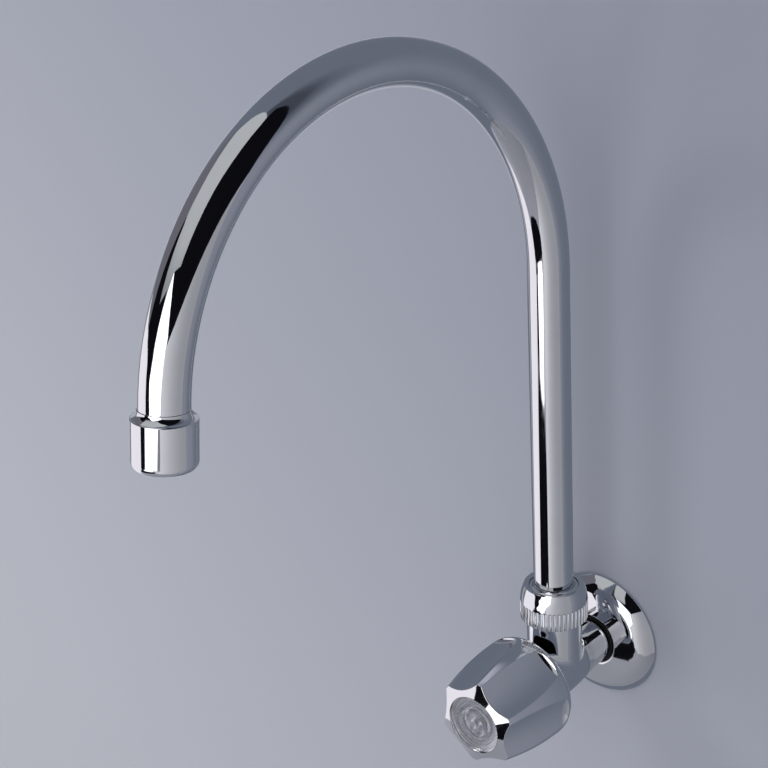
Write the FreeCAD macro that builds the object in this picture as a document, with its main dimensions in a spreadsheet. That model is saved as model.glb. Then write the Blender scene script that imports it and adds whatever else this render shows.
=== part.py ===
import FreeCAD, Part
import math
import os
import Sketcher

# Wall-mounted sink tap. The wall is the plane Y = 0 and the tap stands out along -Y. The inlet
# thread, the valve and the handle share the axis X = 0, Z = 0, and Z points up.
# "Distance" below is the distance out from the wall, and "height" is the height over that axis.

# name, value and meaning, in millimetres, degrees and counts
DIMENSIONS = [
    ("running_clearance", 0.05, "radial gap of a part that turns or slides in another"),
    ("assembly_gap", 0.05, "radial gap of a fixed part in its seat"),
    ("free_gap", 0.3, "gap between faces that pass each other freely"),
    # body
    ("wall_to_riser", 40, "wall to the riser's axis"),
    ("inlet_thread_diameter", 20.95, "outside diameter of the half-inch pipe thread"),
    ("inlet_thread_pitch", 1.814, "fourteen threads to the inch"),
    ("inlet_thread_depth", 0.95, "depth of the thread's grooves"),
    ("inlet_thread_turns", 11, "number of thread grooves"),
    ("inlet_reach", 16, "length of thread behind the wall's face"),
    ("inlet_thread_front", 6.6, "distance at which the thread starts"),
    ("inlet_neck_diameter", 18.4, "plain neck between thread and arm"),
    ("inlet_bore", 12.6, "waterway from the wall"),
    ("arm_end_distance", 9.7, "distance of the arm's end face"),
    ("arm_end_diameter", 22.4, "arm's diameter at its end"),
    ("arm_front_distance", 26.4, "distance at which the arm's straight taper ends"),
    ("arm_front_diameter", 25.3, "arm's diameter there"),
    ("hub_diameter", 28.2, "front face of the valve hub"),
    ("hub_swell_radius", 166, "slight swell of the hub along its length"),
    ("hub_front_reach", 21, "riser axis to the hub's front face"),
    ("arm_edge_radius", 2.0, "rounding of the arm's end"),
    ("socket_diameter", 26.4, "upright socket for the spout"),
    ("socket_shoulder_height", 28.2, "shoulder under the union nut"),
    ("socket_thread_diameter", 25.2, "thread for the union nut"),
    ("socket_rim_height", 39.5, "top of the socket"),
    ("socket_floor_height", 14, "bottom of the socket's bore"),
    ("socket_bore", 21.6, "bore in which the spout's foot turns"),
    ("riser_passage", 13, "waterway up from the chamber"),
    ("cast_fillet", 3.5, "blend between socket and hub"),
    ("chamber_diameter", 18, "valve chamber"),
    ("seat_behind_riser", 8.5, "seat's lip to the riser's axis"),
    ("seat_diameter", 15.2, "outside of the seat ring"),
    ("seat_bore", 10.4, "waterway through the seat"),
    ("seat_length", 4, "part of the seat that sits in the body"),
    ("seat_lip_height", 1.5, "raised lip of the seat"),
    ("seat_lip_width", 1.2, "width of the lip"),
    # flange
    ("flange_diameter", 64.6, "rim of the wall flange"),
    ("flange_sheet", 1.0, "thickness of the pressed sheet"),
    ("flange_rim_straight", 0.4, "straight part of the rim at the wall"),
    ("flange_rim_radius", 2.5, "tight rounding at the rim"),
    ("flange_rim_angle", 28, "turn of the rim's rounding"),
    ("flange_shoulder_radius", 13.75, "outer bend of the flange"),
    ("flange_crown_radius", 100, "gentle crown of the flange's face"),
    ("flange_crown_angle", 80, "where the shoulder passes into the crown"),
    ("flange_neck_diameter", 24.6, "opening round the arm"),
    ("flange_lip_radius", 1.6, "outer bend of the opening's lip"),
    ("flange_neck_length", 1.4, "straight part of the opening's lip"),
    ("grip_ring_width", 2.0, "length of the rubber ring"),
    ("grip_ring_rounding", 0.6, "edge of the rubber ring"),
    # headwork
    ("bonnet_thread_diameter", 20, "thread in the hub's front"),
    ("bonnet_thread_length", 11.5, "length of that thread"),
    ("bonnet_gasket_thickness", 0.8, "fibre gasket"),
    ("bonnet_hex", 24, "across the bonnet's flats"),
    ("bonnet_hex_thickness", 6, "length of the bonnet's hexagon"),
    ("bonnet_neck_diameter", 14, "neck that carries the gland nut"),
    ("bonnet_neck_length", 8, "length of that neck"),
    ("spindle_thread_diameter", 12, "threaded part of the spindle"),
    ("spindle_thread_length", 12, "length of that part"),
    ("spindle_diameter", 8, "spindle through the gland"),
    ("spindle_nose_diameter", 9, "spindle in the chamber"),
    ("spindle_square", 5.6, "across the flats of the square end"),
    ("travel", 3.6, "rise of the spindle from shut to open"),
    ("packing_diameter", 11.8, "outside of the packing"),
    ("packing_thickness", 3.5, "length of the packing"),
    ("packing_pocket", 5, "depth of the packing's pocket"),
    ("follower_thickness", 1.7, "brass ring on the packing"),
    ("gland_nut_hex", 17, "across the gland nut's flats"),
    ("gland_nut_skirt", 6.3, "skirt of the gland nut behind its roof"),
    ("gland_nut_roof", 3, "thickness of the gland nut's roof"),
    ("jumper_diameter", 14, "jumper's disc"),
    ("jumper_thickness", 3, "thickness of the disc"),
    ("jumper_stem_diameter", 5.9, "stem in the spindle's socket"),
    ("jumper_stem_length", 10.5, "length of the stem"),
    ("seat_washer_diameter", 13.2, "rubber washer"),
    ("seat_washer_thickness", 3, "rubber washer"),
    ("washer_screw_diameter", 3, "shank of the washer's screw"),
    ("washer_screw_head_diameter", 6, "head of the washer's screw"),
    ("washer_screw_head_height", 1.6, "head of the washer's screw"),
    ("washer_screw_length", 7, "shank of the washer's screw"),
    # handle
    ("handle_reach", 62.9, "riser axis to the front edge of the handle"),
    ("handle_rear_reach", 19.3, "riser axis to the handle's rear face"),
    ("handle_widest_length", 0.7, "straight band between the rear rounding and the barrel"),
    ("handle_diameter", 51.8, "widest diameter"),
    ("handle_front_diameter", 42.6, "across the front corners"),
    ("handle_face_slope", 18, "slope of the conical face"),
    ("handle_rear_radius", 4.5, "rounding at the back"),
    ("handle_opening", 38, "opening at the back"),
    ("handle_hollow_front", 31.6, "hollow's diameter at its front end"),
    ("handle_angle", -23.3, "turn of the handle when shut"),
    ("handle_flutes", 6, "number of flutes"),
    ("flute_radius", 29, "hollow of a flute across the handle"),
    ("flute_front_floor", 17.1, "axis to a flute's floor at the front"),
    ("flute_rear_floor", 23.6, "axis to a flute's floor at its end"),
    ("flute_rear_reach", 26, "riser axis to the end of the flutes"),
    ("flute_end_radius", 3, "rounded end of a flute"),
    ("handle_edge_radius", 0.4, "softened edges of the front and between the flutes"),
    ("boss_diameter", 16, "boss on the spindle"),
    ("boss_length", 10, "boss behind the web"),
    ("web_distance_behind_face", 9.4, "front edge to the web's rear face"),
    ("screw_seat_behind_face", 6.4, "front edge to the screw's seat"),
    ("screw_pocket_diameter", 9.2, "pocket of the handle's screw"),
    ("handle_screw_diameter", 3.9, "shank of the handle's screw"),
    ("handle_screw_length", 14, "shank of the handle's screw"),
    ("handle_screw_head_diameter", 8, "head of the handle's screw"),
    ("handle_screw_head_height", 2.2, "head of the handle's screw"),
    ("screw_slot_width", 1.1, "slot in a screw's head"),
    ("screw_slot_depth", 1.1, "slot in a screw's head"),
    ("button_diameter", 28.5, "clear button"),
    ("button_thickness", 3.4, "clear button at its edge"),
    ("button_crown", 0.5, "rise of the button's middle"),
    ("button_edge_bevel", 0.3, "bevel of the button's edge"),
    ("index_disc_thickness", 0.4, "bright disc behind the button"),
    # union nut
    ("nut_diameter", 32.4, "knurled nut"),
    ("nut_bottom_height", 28.7, "underside of the nut"),
    ("nut_dome_height", 37, "where the nut's dome starts"),
    ("nut_top_height", 46.2, "top of the nut"),
    ("nut_top_diameter", 28.4, "top edge of the nut"),
    ("nut_opening", 23.8, "hole in the nut's roof"),
    ("nut_dish", 0.5, "dish of the nut's top"),
    ("nut_roof_height", 43.5, "underside of the nut's roof"),
    ("nut_edge_bevel", 0.4, "bevel of the nut's lower edge"),
    ("knurl_count", 48, "number of knurl grooves"),
    ("knurl_groove_radius", 0.95, "round groove of the knurl"),
    ("knurl_groove_axis", 16.4, "axis of a groove from the riser's axis"),
    ("knurl_top_height", 38.4, "top of the grooves"),
    # spout
    ("tube_diameter", 19, "spout tube"),
    ("tube_wall", 1.0, "spout tube"),
    ("tube_foot_height", 30, "lower end of the tube"),
    ("riser_height", 204.8, "start of the bend"),
    ("bend_radius", 111, "centre line of the bend"),
    ("bend_angle", 172.8, "turn of the bend"),
    ("outlet_straight", 3.4, "straight tube over the housing's rim"),
    ("tube_insertion", 5, "tube below the housing's rim"),
    ("foot_bottom_height", 14.5, "lower end of the spout's foot"),
    ("foot_bore", 14, "waterway through the foot"),
    ("thrust_washer_thickness", 0.8, "plastic washer under the collar"),
    ("collar_diameter", 24.6, "collar of the spout's foot"),
    ("collar_thickness", 2.4, "collar of the spout's foot"),
    ("flare_diameter", 23.2, "flared top of the foot"),
    ("flare_edge_height", 45.2, "edge of the foot's flare"),
    ("flare_rise", 1.0, "height of the flare's hollow curve"),
    ("flare_step", 0.25, "thin top edge of a flare on the tube"),
    ("ring_groove_width", 2.2, "groove of a sealing ring"),
    ("ring_section", 1.54, "section of a sealing ring"),
    ("lower_ring_height", 18.5, "middle of the lower ring"),
    ("ring_spacing", 6, "lower to upper ring"),
    # outlet
    ("housing_diameter", 24.5, "aerator's housing"),
    ("housing_length", 18.3, "aerator's housing"),
    ("housing_rim_radius", 0.45, "rounded top rim"),
    ("housing_bevel_length", 2.6, "bevelled lower edge"),
    ("housing_bevel_depth", 1.3, "bevelled lower edge"),
    ("housing_mouth", 18.8, "opening at the bottom"),
    ("housing_lip", 1.1, "lip that carries the cartridge"),
    ("nipple_collar_diameter", 23.3, "collar inside the housing's rim"),
    ("nipple_collar_depth", 1.2, "collar below the rim"),
    ("nipple_thread_diameter", 22, "thread in the housing"),
    ("nipple_length", 8, "nipple below the rim"),
    ("nipple_bore", 16.8, "waterway through the nipple"),
    ("aerator_washer_thickness", 1.6, "flat rubber washer"),
    ("cartridge_diameter", 20.8, "plastic cartridge"),
    ("cartridge_wall", 1.1, "plastic cartridge"),
    ("diffuser_depth", 1.6, "cartridge's top to the diffuser's face"),
    ("diffuser_thickness", 1.2, "perforated disc"),
    ("diffuser_hole", 1.3, "holes of the diffuser"),
    ("diffuser_pitch", 2.7, "spacing of the diffuser's hole rings"),
    ("mesh_depth", 4.4, "cartridge's top to the screen"),
    ("mesh_thickness", 0.4, "wire screen"),
    ("mesh_hole", 0.95, "holes of the screen"),
    ("mesh_pitch", 1.45, "spacing of the screen's hole rings"),
    ("grid_thickness", 1.8, "flow straightener"),
    ("grid_hole", 2.1, "holes of the straightener"),
    ("grid_pitch", 2.7, "spacing of the straightener's hole rings"),
]

START, END = 1, 2
ORIGIN = (-1, 1)
VERTICAL_AXIS = "V_Axis"

doc = FreeCAD.newDocument("wall_faucet")
sheet = doc.addObject("Spreadsheet::Sheet", "sizes")


def fill_sheet():
    """Write every driving dimension to the sheet and give its cell an alias."""
    for row, (name, value, meaning) in enumerate(DIMENSIONS, 1):
        sheet.set(f"A{row}", name)
        sheet.set(f"B{row}", str(value))
        sheet.set(f"C{row}", meaning)
        sheet.setAlias(f"B{row}", name)
    doc.recompute()


def number(expression):
    """Present value of an expression in the sheet's sizes."""
    return float(sheet.evalExpression(expression))


# Distances from the wall and heights that several parts share.
RISER = "sizes.wall_to_riser"
SEAT_LIP = f"({RISER} - sizes.seat_behind_riser)"
SEAT_FACE = f"({SEAT_LIP} - sizes.seat_lip_height)"
SEAT_BACK = f"({SEAT_FACE} - sizes.seat_length)"
HUB_FRONT = f"({RISER} + sizes.hub_front_reach)"
BONNET_BACK = f"({HUB_FRONT} - sizes.bonnet_thread_length)"
HEX_BACK = f"({HUB_FRONT} + sizes.bonnet_gasket_thickness)"
HEX_FRONT = f"({HEX_BACK} + sizes.bonnet_hex_thickness)"
NECK_FRONT = f"({HEX_FRONT} + sizes.bonnet_neck_length)"
PACKING_BACK = f"({NECK_FRONT} - sizes.packing_pocket)"
FOLLOWER_BACK = f"({PACKING_BACK} + sizes.packing_thickness)"
ROOF_BACK = f"({FOLLOWER_BACK} + sizes.follower_thickness)"
JUMPER_BACK = f"({SEAT_LIP} + sizes.seat_washer_thickness)"
JUMPER_FRONT = f"({JUMPER_BACK} + sizes.jumper_thickness)"
SPINDLE_BACK = f"({JUMPER_FRONT} + sizes.free_gap)"
THREAD_BACK = f"({BONNET_BACK} + 1)"
THREAD_FRONT = f"({THREAD_BACK} + sizes.spindle_thread_length)"
HANDLE_FRONT = f"({RISER} + sizes.handle_reach)"
HANDLE_BACK = f"({RISER} + sizes.handle_rear_reach)"
SCREW_SEAT = f"({HANDLE_FRONT} - sizes.screw_seat_behind_face)"
WEB_BACK = f"({HANDLE_FRONT} - sizes.web_distance_behind_face)"
BOSS_BACK = f"({WEB_BACK} - sizes.boss_length)"
SPINDLE_FRONT = f"({SCREW_SEAT} - 2)"
BUTTON_BACK = f"({HANDLE_FRONT} - sizes.button_thickness)"
DISC_BACK = f"({BUTTON_BACK} - sizes.index_disc_thickness)"
COLLAR_BOTTOM = "(sizes.socket_rim_height + sizes.thrust_washer_thickness)"
COLLAR_TOP = f"({COLLAR_BOTTOM} + sizes.collar_thickness)"
CARTRIDGE_TOP = "(-sizes.nipple_length - sizes.aerator_washer_thickness)"
LIP_TOP = "(-sizes.housing_length + sizes.housing_lip)"
BEND_END_REACH = f"({RISER} + sizes.bend_radius * (1 - cos(sizes.bend_angle)))"
BEND_END_HEIGHT = "(sizes.riser_height + sizes.bend_radius * sin(sizes.bend_angle))"


def half(name):
    """Radius of a named diameter."""
    return f"(sizes.{name} / 2)"


def larger(name, gap):
    """Radius of a hole that clears a named diameter by a named gap."""
    return f"(sizes.{name} / 2 + sizes.{gap})"


def plane_of(body, role):
    """One of a body's own origin planes."""
    return next(item for item in body.Origin.OriginFeatures if item.Role == role)


def new_body(label):
    """Empty body for one sub-part."""
    body = doc.addObject("PartDesign::Body", label)
    body.Label = label
    return body


def new_sketch(body, name, role):
    """Sketch on one of the body's origin planes."""
    sketch = body.newObject("Sketcher::SketchObject", name)
    sketch.AttachmentSupport = (plane_of(body, role), [""])
    sketch.MapMode = "FlatFace"
    return sketch


def pin_point(sketch, geometry, position, x, y):
    """Fix a point of the sketch at two expressions."""
    for kind, expression in (("DistanceX", x), ("DistanceY", y)):
        value = number(expression)
        index = sketch.addConstraint(Sketcher.Constraint(kind, *ORIGIN, geometry, position, value))
        sketch.setExpression(f"Constraints[{index}]", expression)


def arc_between(start, end, radius, side):
    """Arc from start to end. Its centre is left (1) or right (-1) of the way along it."""
    chord = end - start
    middle = (start + end) / 2
    across = FreeCAD.Vector(-chord.y, chord.x, 0).normalize()
    rise = math.sqrt(max(radius * radius - chord.Length * chord.Length / 4, 0.0))
    centre = middle + across * rise * side
    first, last = (start, end) if side > 0 else (end, start)
    angle_first = math.atan2(first.y - centre.y, first.x - centre.x)
    angle_last = math.atan2(last.y - centre.y, last.x - centre.x)
    if angle_last < angle_first:
        angle_last += 2 * math.pi
    circle = Part.Circle(centre, FreeCAD.Vector(0, 0, 1), radius)
    return Part.ArcOfCircle(circle, angle_first, angle_last)


def draw_outline(sketch, outline):
    """Closed outline. A corner is (x, y), and (x, y, radius, side) starts an arc there."""
    points = [FreeCAD.Vector(number(corner[0]), number(corner[1]), 0) for corner in outline]
    count = len(outline)
    first = sketch.GeometryCount
    starts, ends = [], []
    for index, corner in enumerate(outline):
        start, end = points[index], points[(index + 1) % count]
        forward = True
        if len(corner) == 2:
            sketch.addGeometry(Part.LineSegment(start, end), False)
        else:
            forward = corner[3] > 0
            arc = arc_between(start, end, number(corner[2]), corner[3])
            sketch.addGeometry(arc, False)
        starts.append(START if forward else END)
        ends.append(END if forward else START)
    for index, corner in enumerate(outline):
        before = (index - 1) % count
        joint = Sketcher.Constraint(
            "Coincident", first + before, ends[before], first + index, starts[index]
        )
        sketch.addConstraint(joint)
        pin_point(sketch, first + index, starts[index], corner[0], corner[1])
        if len(corner) > 2:
            radius = Sketcher.Constraint("Radius", first + index, number(corner[2]))
            place = sketch.addConstraint(radius)
            sketch.setExpression(f"Constraints[{place}]", corner[2])


def draw_circle(sketch, x, y, radius):
    """Circle at a centre and with a radius given by expressions."""
    centre = FreeCAD.Vector(number(x), number(y), 0)
    upright = FreeCAD.Vector(0, 0, 1)
    index = sketch.addGeometry(Part.Circle(centre, upright, number(radius)), False)
    pin_point(sketch, index, 3, x, y)
    place = sketch.addConstraint(Sketcher.Constraint("Radius", index, number(radius)))
    sketch.setExpression(f"Constraints[{place}]", radius)


def draw_axis(sketch, ends):
    """Construction line that a turned feature goes round."""
    points = [FreeCAD.Vector(number(x), number(y), 0) for x, y in ends]
    index = sketch.addGeometry(Part.LineSegment(*points), True)
    for position, (x, y) in zip((START, END), ends):
        pin_point(sketch, index, position, x, y)


def turn(body, kind, name, role, outline, axis=None):
    """Outline turned round the sketch's upright axis, or round a line of its own."""
    sketch = new_sketch(body, f"{name}_profile", role)
    if axis:
        draw_axis(sketch, axis)
    draw_outline(sketch, outline)
    feature = body.newObject(f"PartDesign::{kind}", name)
    feature.Profile = sketch
    feature.ReferenceAxis = (sketch, ["Axis0" if axis else VERTICAL_AXIS])
    feature.Angle = 360
    sketch.Visibility = False
    return feature


def out(corners):
    """Corners given as (radius, distance from the wall), for a sketch whose Y runs to the wall."""
    return [(corner[0], f"-({corner[1]})", *corner[2:]) for corner in corners]


def box_outline(inner, outer, low, high):
    """Rectangle between two radii and two places along the axis."""
    return [(inner, low), (outer, low), (outer, high), (inner, high)]


def on_hub(label, corners):
    """Sub-part turned round the hub's axis, its corners given by distance from the wall."""
    body = new_body(label)
    turn(body, "Revolution", f"{label}_form", "XY_Plane", out(corners))
    return body


def on_riser(label, corners):
    """Sub-part turned round the riser's axis."""
    body = new_body(label)
    body.setExpression("Placement.Base.y", f"-{RISER}")
    turn(body, "Revolution", f"{label}_form", "XZ_Plane", corners)
    return body


def on_outlet(label, corners):
    """Sub-part turned round the outlet's axis, with the housing's rim at height 0."""
    body = new_body(label)
    turn(body, "Revolution", f"{label}_form", "XZ_Plane", corners)
    body.Placement.Rotation = FreeCAD.Rotation(FreeCAD.Vector(1, 0, 0), 1)
    along_y = "sizes.outlet_straight * sin(sizes.bend_angle)"
    along_z = "sizes.outlet_straight * cos(sizes.bend_angle)"
    body.setExpression("Placement.Base.y", f"-{BEND_END_REACH} - {along_y}")
    body.setExpression("Placement.Base.z", f"{BEND_END_HEIGHT} + {along_z}")
    body.setExpression("Placement.Rotation.Angle", "sizes.bend_angle - 180")
    return body


def cut(body, name, role, outline, axis=None):
    """Turned cut, which has to take material away."""
    before = solid_volume(body)
    feature = turn(body, "Groove", name, role, outline, axis)
    check_cut(body, name, before)
    return feature


def solid_volume(body):
    """Volume of a body as built so far."""
    doc.recompute()
    return body.Shape.Volume


def check_cut(body, name, before):
    """A cut that takes nothing away is a fault."""
    if solid_volume(body) > before - 1e-3:
        raise RuntimeError(f"{name} cuts nothing")


def pocket(body, name, role, draw, length, reverse=False, offset=None):
    """Straight cut of a drawn outline, from an origin plane or an offset from it."""
    before = solid_volume(body)
    sketch = new_sketch(body, f"{name}_profile", role)
    draw(sketch)
    if offset:
        sketch.setExpression("AttachmentOffset.Base.z", offset)
    feature = body.newObject("PartDesign::Pocket", name)
    feature.Profile = sketch
    feature.Reversed = reverse
    feature.Length = number(length)
    feature.setExpression("Length", length)
    sketch.Visibility = False
    check_cut(body, name, before)
    return feature


def circle_edges(shape, places):
    """Names of the circular edges at given (radius, place along the local axis) pairs."""
    names = []
    for index, edge in enumerate(shape.Edges, 1):
        if not isinstance(edge.Curve, Part.Circle):
            continue
        centre = edge.Curve.Center
        for radius, along in places:
            same_place = min(abs(centre.y - along), abs(centre.z - along)) < 1e-3
            if abs(edge.Curve.Radius - radius) < 1e-3 and same_place:
                names.append(f"Edge{index}")
    if not names:
        raise RuntimeError(f"no edge at {places}")
    return names


def dress(body, kind, name, size, edge_names):
    """Fillet or chamfer on named edges of the body's tip."""
    base = body.Tip
    feature = body.newObject(f"PartDesign::{kind}", name)
    feature.Base = (base, edge_names)
    value = "Radius" if kind == "Fillet" else "Size"
    feature.setExpression(value, f"sizes.{size}")
    body.Tip = feature
    doc.recompute()
    return feature


def dress_circles(body, kind, name, size, places, sign=1):
    """Fillet or chamfer on circular edges, found by radius and place along the axis."""
    doc.recompute()
    spots = [(number(radius), sign * number(along)) for radius, along in places]
    return dress(body, kind, name, size, circle_edges(body.Tip.Shape, spots))


def ring_pattern(body, name, features, role, count):
    """Copies of features round one of the body's origin axes."""
    pattern = body.newObject("PartDesign::PolarPattern", name)
    pattern.Originals = features
    pattern.Axis = (plane_of(body, role), [""])
    pattern.Angle = 360
    pattern.Occurrences = int(number(count))
    pattern.setExpression("Occurrences", count)
    body.Tip = pattern
    doc.recompute()
    return pattern


def hexagon(sketch, across_flats):
    """Hexagon round the sketch's origin."""
    corner = f"({across_flats} / sqrt(3))"
    corners = []
    for index in range(6):
        angle = 60 * index
        corners.append((f"{corner} * cos({angle})", f"{corner} * sin({angle})"))
    draw_outline(sketch, corners)


def square(sketch, across_flats):
    """Square round the sketch's origin."""
    side = f"({across_flats} / 2)"
    corners = [(side, f"-{side}"), (side, side), (f"-{side}", side), (f"-{side}", f"-{side}")]
    draw_outline(sketch, corners)


def outside(body, name, shape, start, length):
    """Cut away everything outside a hexagon or square, along the hub's axis."""
    reach = f"{length}"

    def draw(sketch):
        draw_circle(sketch, "0", "0", "40")
        shape(sketch)

    return pocket(body, name, "XZ_Plane", draw, reach, reverse=True, offset=start)


def valve_body():
    """Cast body: inlet shank, tapered arm, hub and upright socket, bored for the valve."""
    body = new_body("valve_body")
    thread = half("inlet_thread_diameter")
    neck = half("inlet_neck_diameter")
    outer = [
        ("0", "-sizes.inlet_reach"),
        (thread, "-sizes.inlet_reach"),
        (thread, "sizes.inlet_thread_front"),
        (neck, "sizes.inlet_thread_front"),
        (neck, "sizes.arm_end_distance"),
        (half("arm_end_diameter"), "sizes.arm_end_distance"),
        (half("arm_front_diameter"), "sizes.arm_front_distance", "sizes.hub_swell_radius", -1),
        (half("hub_diameter"), HUB_FRONT),
        ("0", HUB_FRONT),
    ]
    turn(body, "Revolution", "hub", "XY_Plane", out(outer))
    socket_outline = [
        (f"-{RISER}", "0"),
        (f"-{RISER} + {half('socket_diameter')}", "0"),
        (f"-{RISER} + {half('socket_diameter')}", "sizes.socket_shoulder_height"),
        (f"-{RISER} + {half('socket_thread_diameter')}", "sizes.socket_shoulder_height"),
        (f"-{RISER} + {half('socket_thread_diameter')}", "sizes.socket_rim_height"),
        (f"-{RISER}", "sizes.socket_rim_height"),
    ]
    riser_axis = [(f"-{RISER}", "0"), (f"-{RISER}", "sizes.socket_rim_height")]
    turn(body, "Revolution", "socket", "YZ_Plane", socket_outline, riser_axis)
    doc.recompute()
    dress(body, "Fillet", "cast_blend", "cast_fillet", crossing_edges(body.Tip.Shape))
    dress_circles(
        body, "Fillet", "arm_edge", "arm_edge_radius",
        [(half("arm_end_diameter"), "sizes.arm_end_distance")], -1,
    )
    dress_circles(body, "Chamfer", "inlet_lead", "inlet_thread_depth", [(thread, "-sizes.inlet_reach")], -1)
    bores = [
        ("0", "-sizes.inlet_reach"),
        (half("inlet_bore"), "-sizes.inlet_reach"),
        (half("inlet_bore"), SEAT_BACK),
        (larger("seat_diameter", "assembly_gap"), SEAT_BACK),
        (larger("seat_diameter", "assembly_gap"), SEAT_FACE),
        (half("chamber_diameter"), SEAT_FACE),
        (half("chamber_diameter"), BONNET_BACK),
        (larger("bonnet_thread_diameter", "assembly_gap"), BONNET_BACK),
        (larger("bonnet_thread_diameter", "assembly_gap"), HUB_FRONT),
        ("0", HUB_FRONT),
    ]
    cut(body, "valve_bore", "XY_Plane", out(bores))
    passage = [
        (f"-{RISER}", "0"),
        (f"-{RISER} + {half('riser_passage')}", "0"),
        (f"-{RISER} + {half('riser_passage')}", "sizes.socket_floor_height"),
        (f"-{RISER} + {half('socket_bore')}", "sizes.socket_floor_height"),
        (f"-{RISER} + {half('socket_bore')}", "sizes.socket_rim_height"),
        (f"-{RISER}", "sizes.socket_rim_height"),
    ]
    cut(body, "spout_bore", "YZ_Plane", passage, riser_axis)
    thread_grooves(body)
    return body


def crossing_edges(shape):
    """Names of the edges where the socket runs into the hub, which aren't circles or lines."""
    names = []
    for index, edge in enumerate(shape.Edges, 1):
        if not isinstance(edge.Curve, (Part.Circle, Part.Line)):
            names.append(f"Edge{index}")
    return names


def thread_grooves(body):
    """Grooves of the inlet's thread, one turn after another."""
    crest = half("inlet_thread_diameter")
    root = f"({crest} - sizes.inlet_thread_depth)"
    middle = "(sizes.inlet_thread_front - sizes.inlet_thread_pitch)"
    mouth = "(sizes.inlet_thread_pitch * 0.42)"
    rim = f"({crest} + 0.2)"
    groove = [
        (root, f"{middle} - {mouth} / 4"),
        (rim, f"{middle} - {mouth}"),
        (rim, f"{middle} + {mouth}"),
        (root, f"{middle} + {mouth} / 4"),
    ]
    feature = cut(body, "thread_groove", "XY_Plane", out(groove))
    pattern = body.newObject("PartDesign::LinearPattern", "thread")
    pattern.Originals = [feature]
    pattern.Direction = (plane_of(body, "Y_Axis"), [""])
    pattern.Length = number("sizes.inlet_thread_pitch * (sizes.inlet_thread_turns - 1)")
    pattern.setExpression("Length", "sizes.inlet_thread_pitch * (sizes.inlet_thread_turns - 1)")
    pattern.Occurrences = int(number("sizes.inlet_thread_turns"))
    pattern.setExpression("Occurrences", "sizes.inlet_thread_turns")
    body.Tip = pattern
    doc.recompute()


def wall_flange():
    """Pressed flange: tight rim, rounded shoulder, gentle crown and a lip round the arm."""
    sheet_radius = "sizes.flange_sheet"
    rim = half("flange_diameter")
    edge = "sizes.flange_rim_radius"
    edge_angle = "sizes.flange_rim_angle"
    shoulder = "sizes.flange_shoulder_radius"
    crown = "sizes.flange_crown_radius"
    turn_angle = "sizes.flange_crown_angle"
    straight = "sizes.flange_rim_straight"
    lip = "sizes.flange_lip_radius"
    neck = half("flange_neck_diameter")
    lip_centre = f"({neck} + {lip})"
    shoulder_centre = f"({rim} - {edge} - ({shoulder} - {edge}) * cos({edge_angle}))"
    shoulder_distance = f"({straight} - ({shoulder} - {edge}) * sin({edge_angle}))"
    crown_radius_place = f"({shoulder_centre} - ({crown} - {shoulder}) * cos({turn_angle}))"
    crown_distance = f"({shoulder_distance} - ({crown} - {shoulder}) * sin({turn_angle}))"
    half_chord = f"({lip_centre} - {crown_radius_place})"
    lip_top = f"({crown_distance} + sqrt({crown} * {crown} - {half_chord} * {half_chord}))"
    lip_middle = f"({lip_top} - {lip})"
    inner_crown = f"({crown} - {sheet_radius})"
    inner_top = f"({crown_distance} + sqrt({inner_crown} * {inner_crown} - {half_chord} * {half_chord}))"
    neck_end = f"({lip_middle} - sizes.flange_neck_length)"

    def on_shoulder(radius, angle):
        return (
            f"{shoulder_centre} + ({radius}) * cos({angle})",
            f"{shoulder_distance} + ({radius}) * sin({angle})",
        )

    inner_edge = f"({edge} - {sheet_radius})"
    inner_shoulder = f"({shoulder} - {sheet_radius})"
    inner_lip = f"({lip} - {sheet_radius})"
    corners = [
        (neck, neck_end),
        (neck, lip_middle, lip, 1),
        (lip_centre, lip_top, crown, 1),
        (*on_shoulder(shoulder, turn_angle), shoulder, 1),
        (*on_shoulder(shoulder, edge_angle), edge, 1),
        (rim, straight),
        (rim, "0"),
        (f"{rim} - {sheet_radius}", "0"),
        (f"{rim} - {sheet_radius}", straight, inner_edge, -1),
        (*on_shoulder(inner_shoulder, edge_angle), inner_shoulder, -1),
        (*on_shoulder(inner_shoulder, turn_angle), inner_crown, -1),
        (lip_centre, inner_top, f"{inner_top} - {lip_middle}", -1),
        (f"{lip_centre} - ({inner_top} - {lip_middle})", lip_middle),
        (f"{lip_centre} - ({inner_top} - {lip_middle})", neck_end),
    ]
    return on_hub("wall_flange", corners)


def flange_grip_ring():
    """Rubber ring that fills the flange's opening, on the neck behind the arm."""
    front = "(sizes.arm_end_distance - sizes.assembly_gap)"
    inner = larger("inlet_neck_diameter", "assembly_gap")
    outer = f"({half('flange_neck_diameter')} - sizes.assembly_gap)"
    body = on_hub("flange_grip_ring", box_outline(inner, outer, f"{front} - sizes.grip_ring_width", front))
    dress_circles(body, "Fillet", "ring_edge", "grip_ring_rounding", [(outer, front)], -1)
    return body


def valve_seat():
    """Seat ring with a raised lip on which the washer closes."""
    corners = [
        (half("seat_bore"), SEAT_BACK),
        (half("seat_diameter"), SEAT_BACK),
        (half("seat_diameter"), SEAT_FACE),
        (f"{half('seat_bore')} + sizes.seat_lip_width", SEAT_FACE),
        (f"{half('seat_bore')} + sizes.seat_lip_width", SEAT_LIP),
        (half("seat_bore"), SEAT_LIP),
    ]
    return on_hub("valve_seat", corners)


def bonnet_gasket():
    """Fibre ring between the hub's face and the bonnet's hexagon."""
    inner = larger("bonnet_thread_diameter", "assembly_gap")
    outer = "(sizes.bonnet_hex / 2)"
    return on_hub("bonnet_gasket", box_outline(inner, outer, HUB_FRONT, HEX_BACK))


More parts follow.
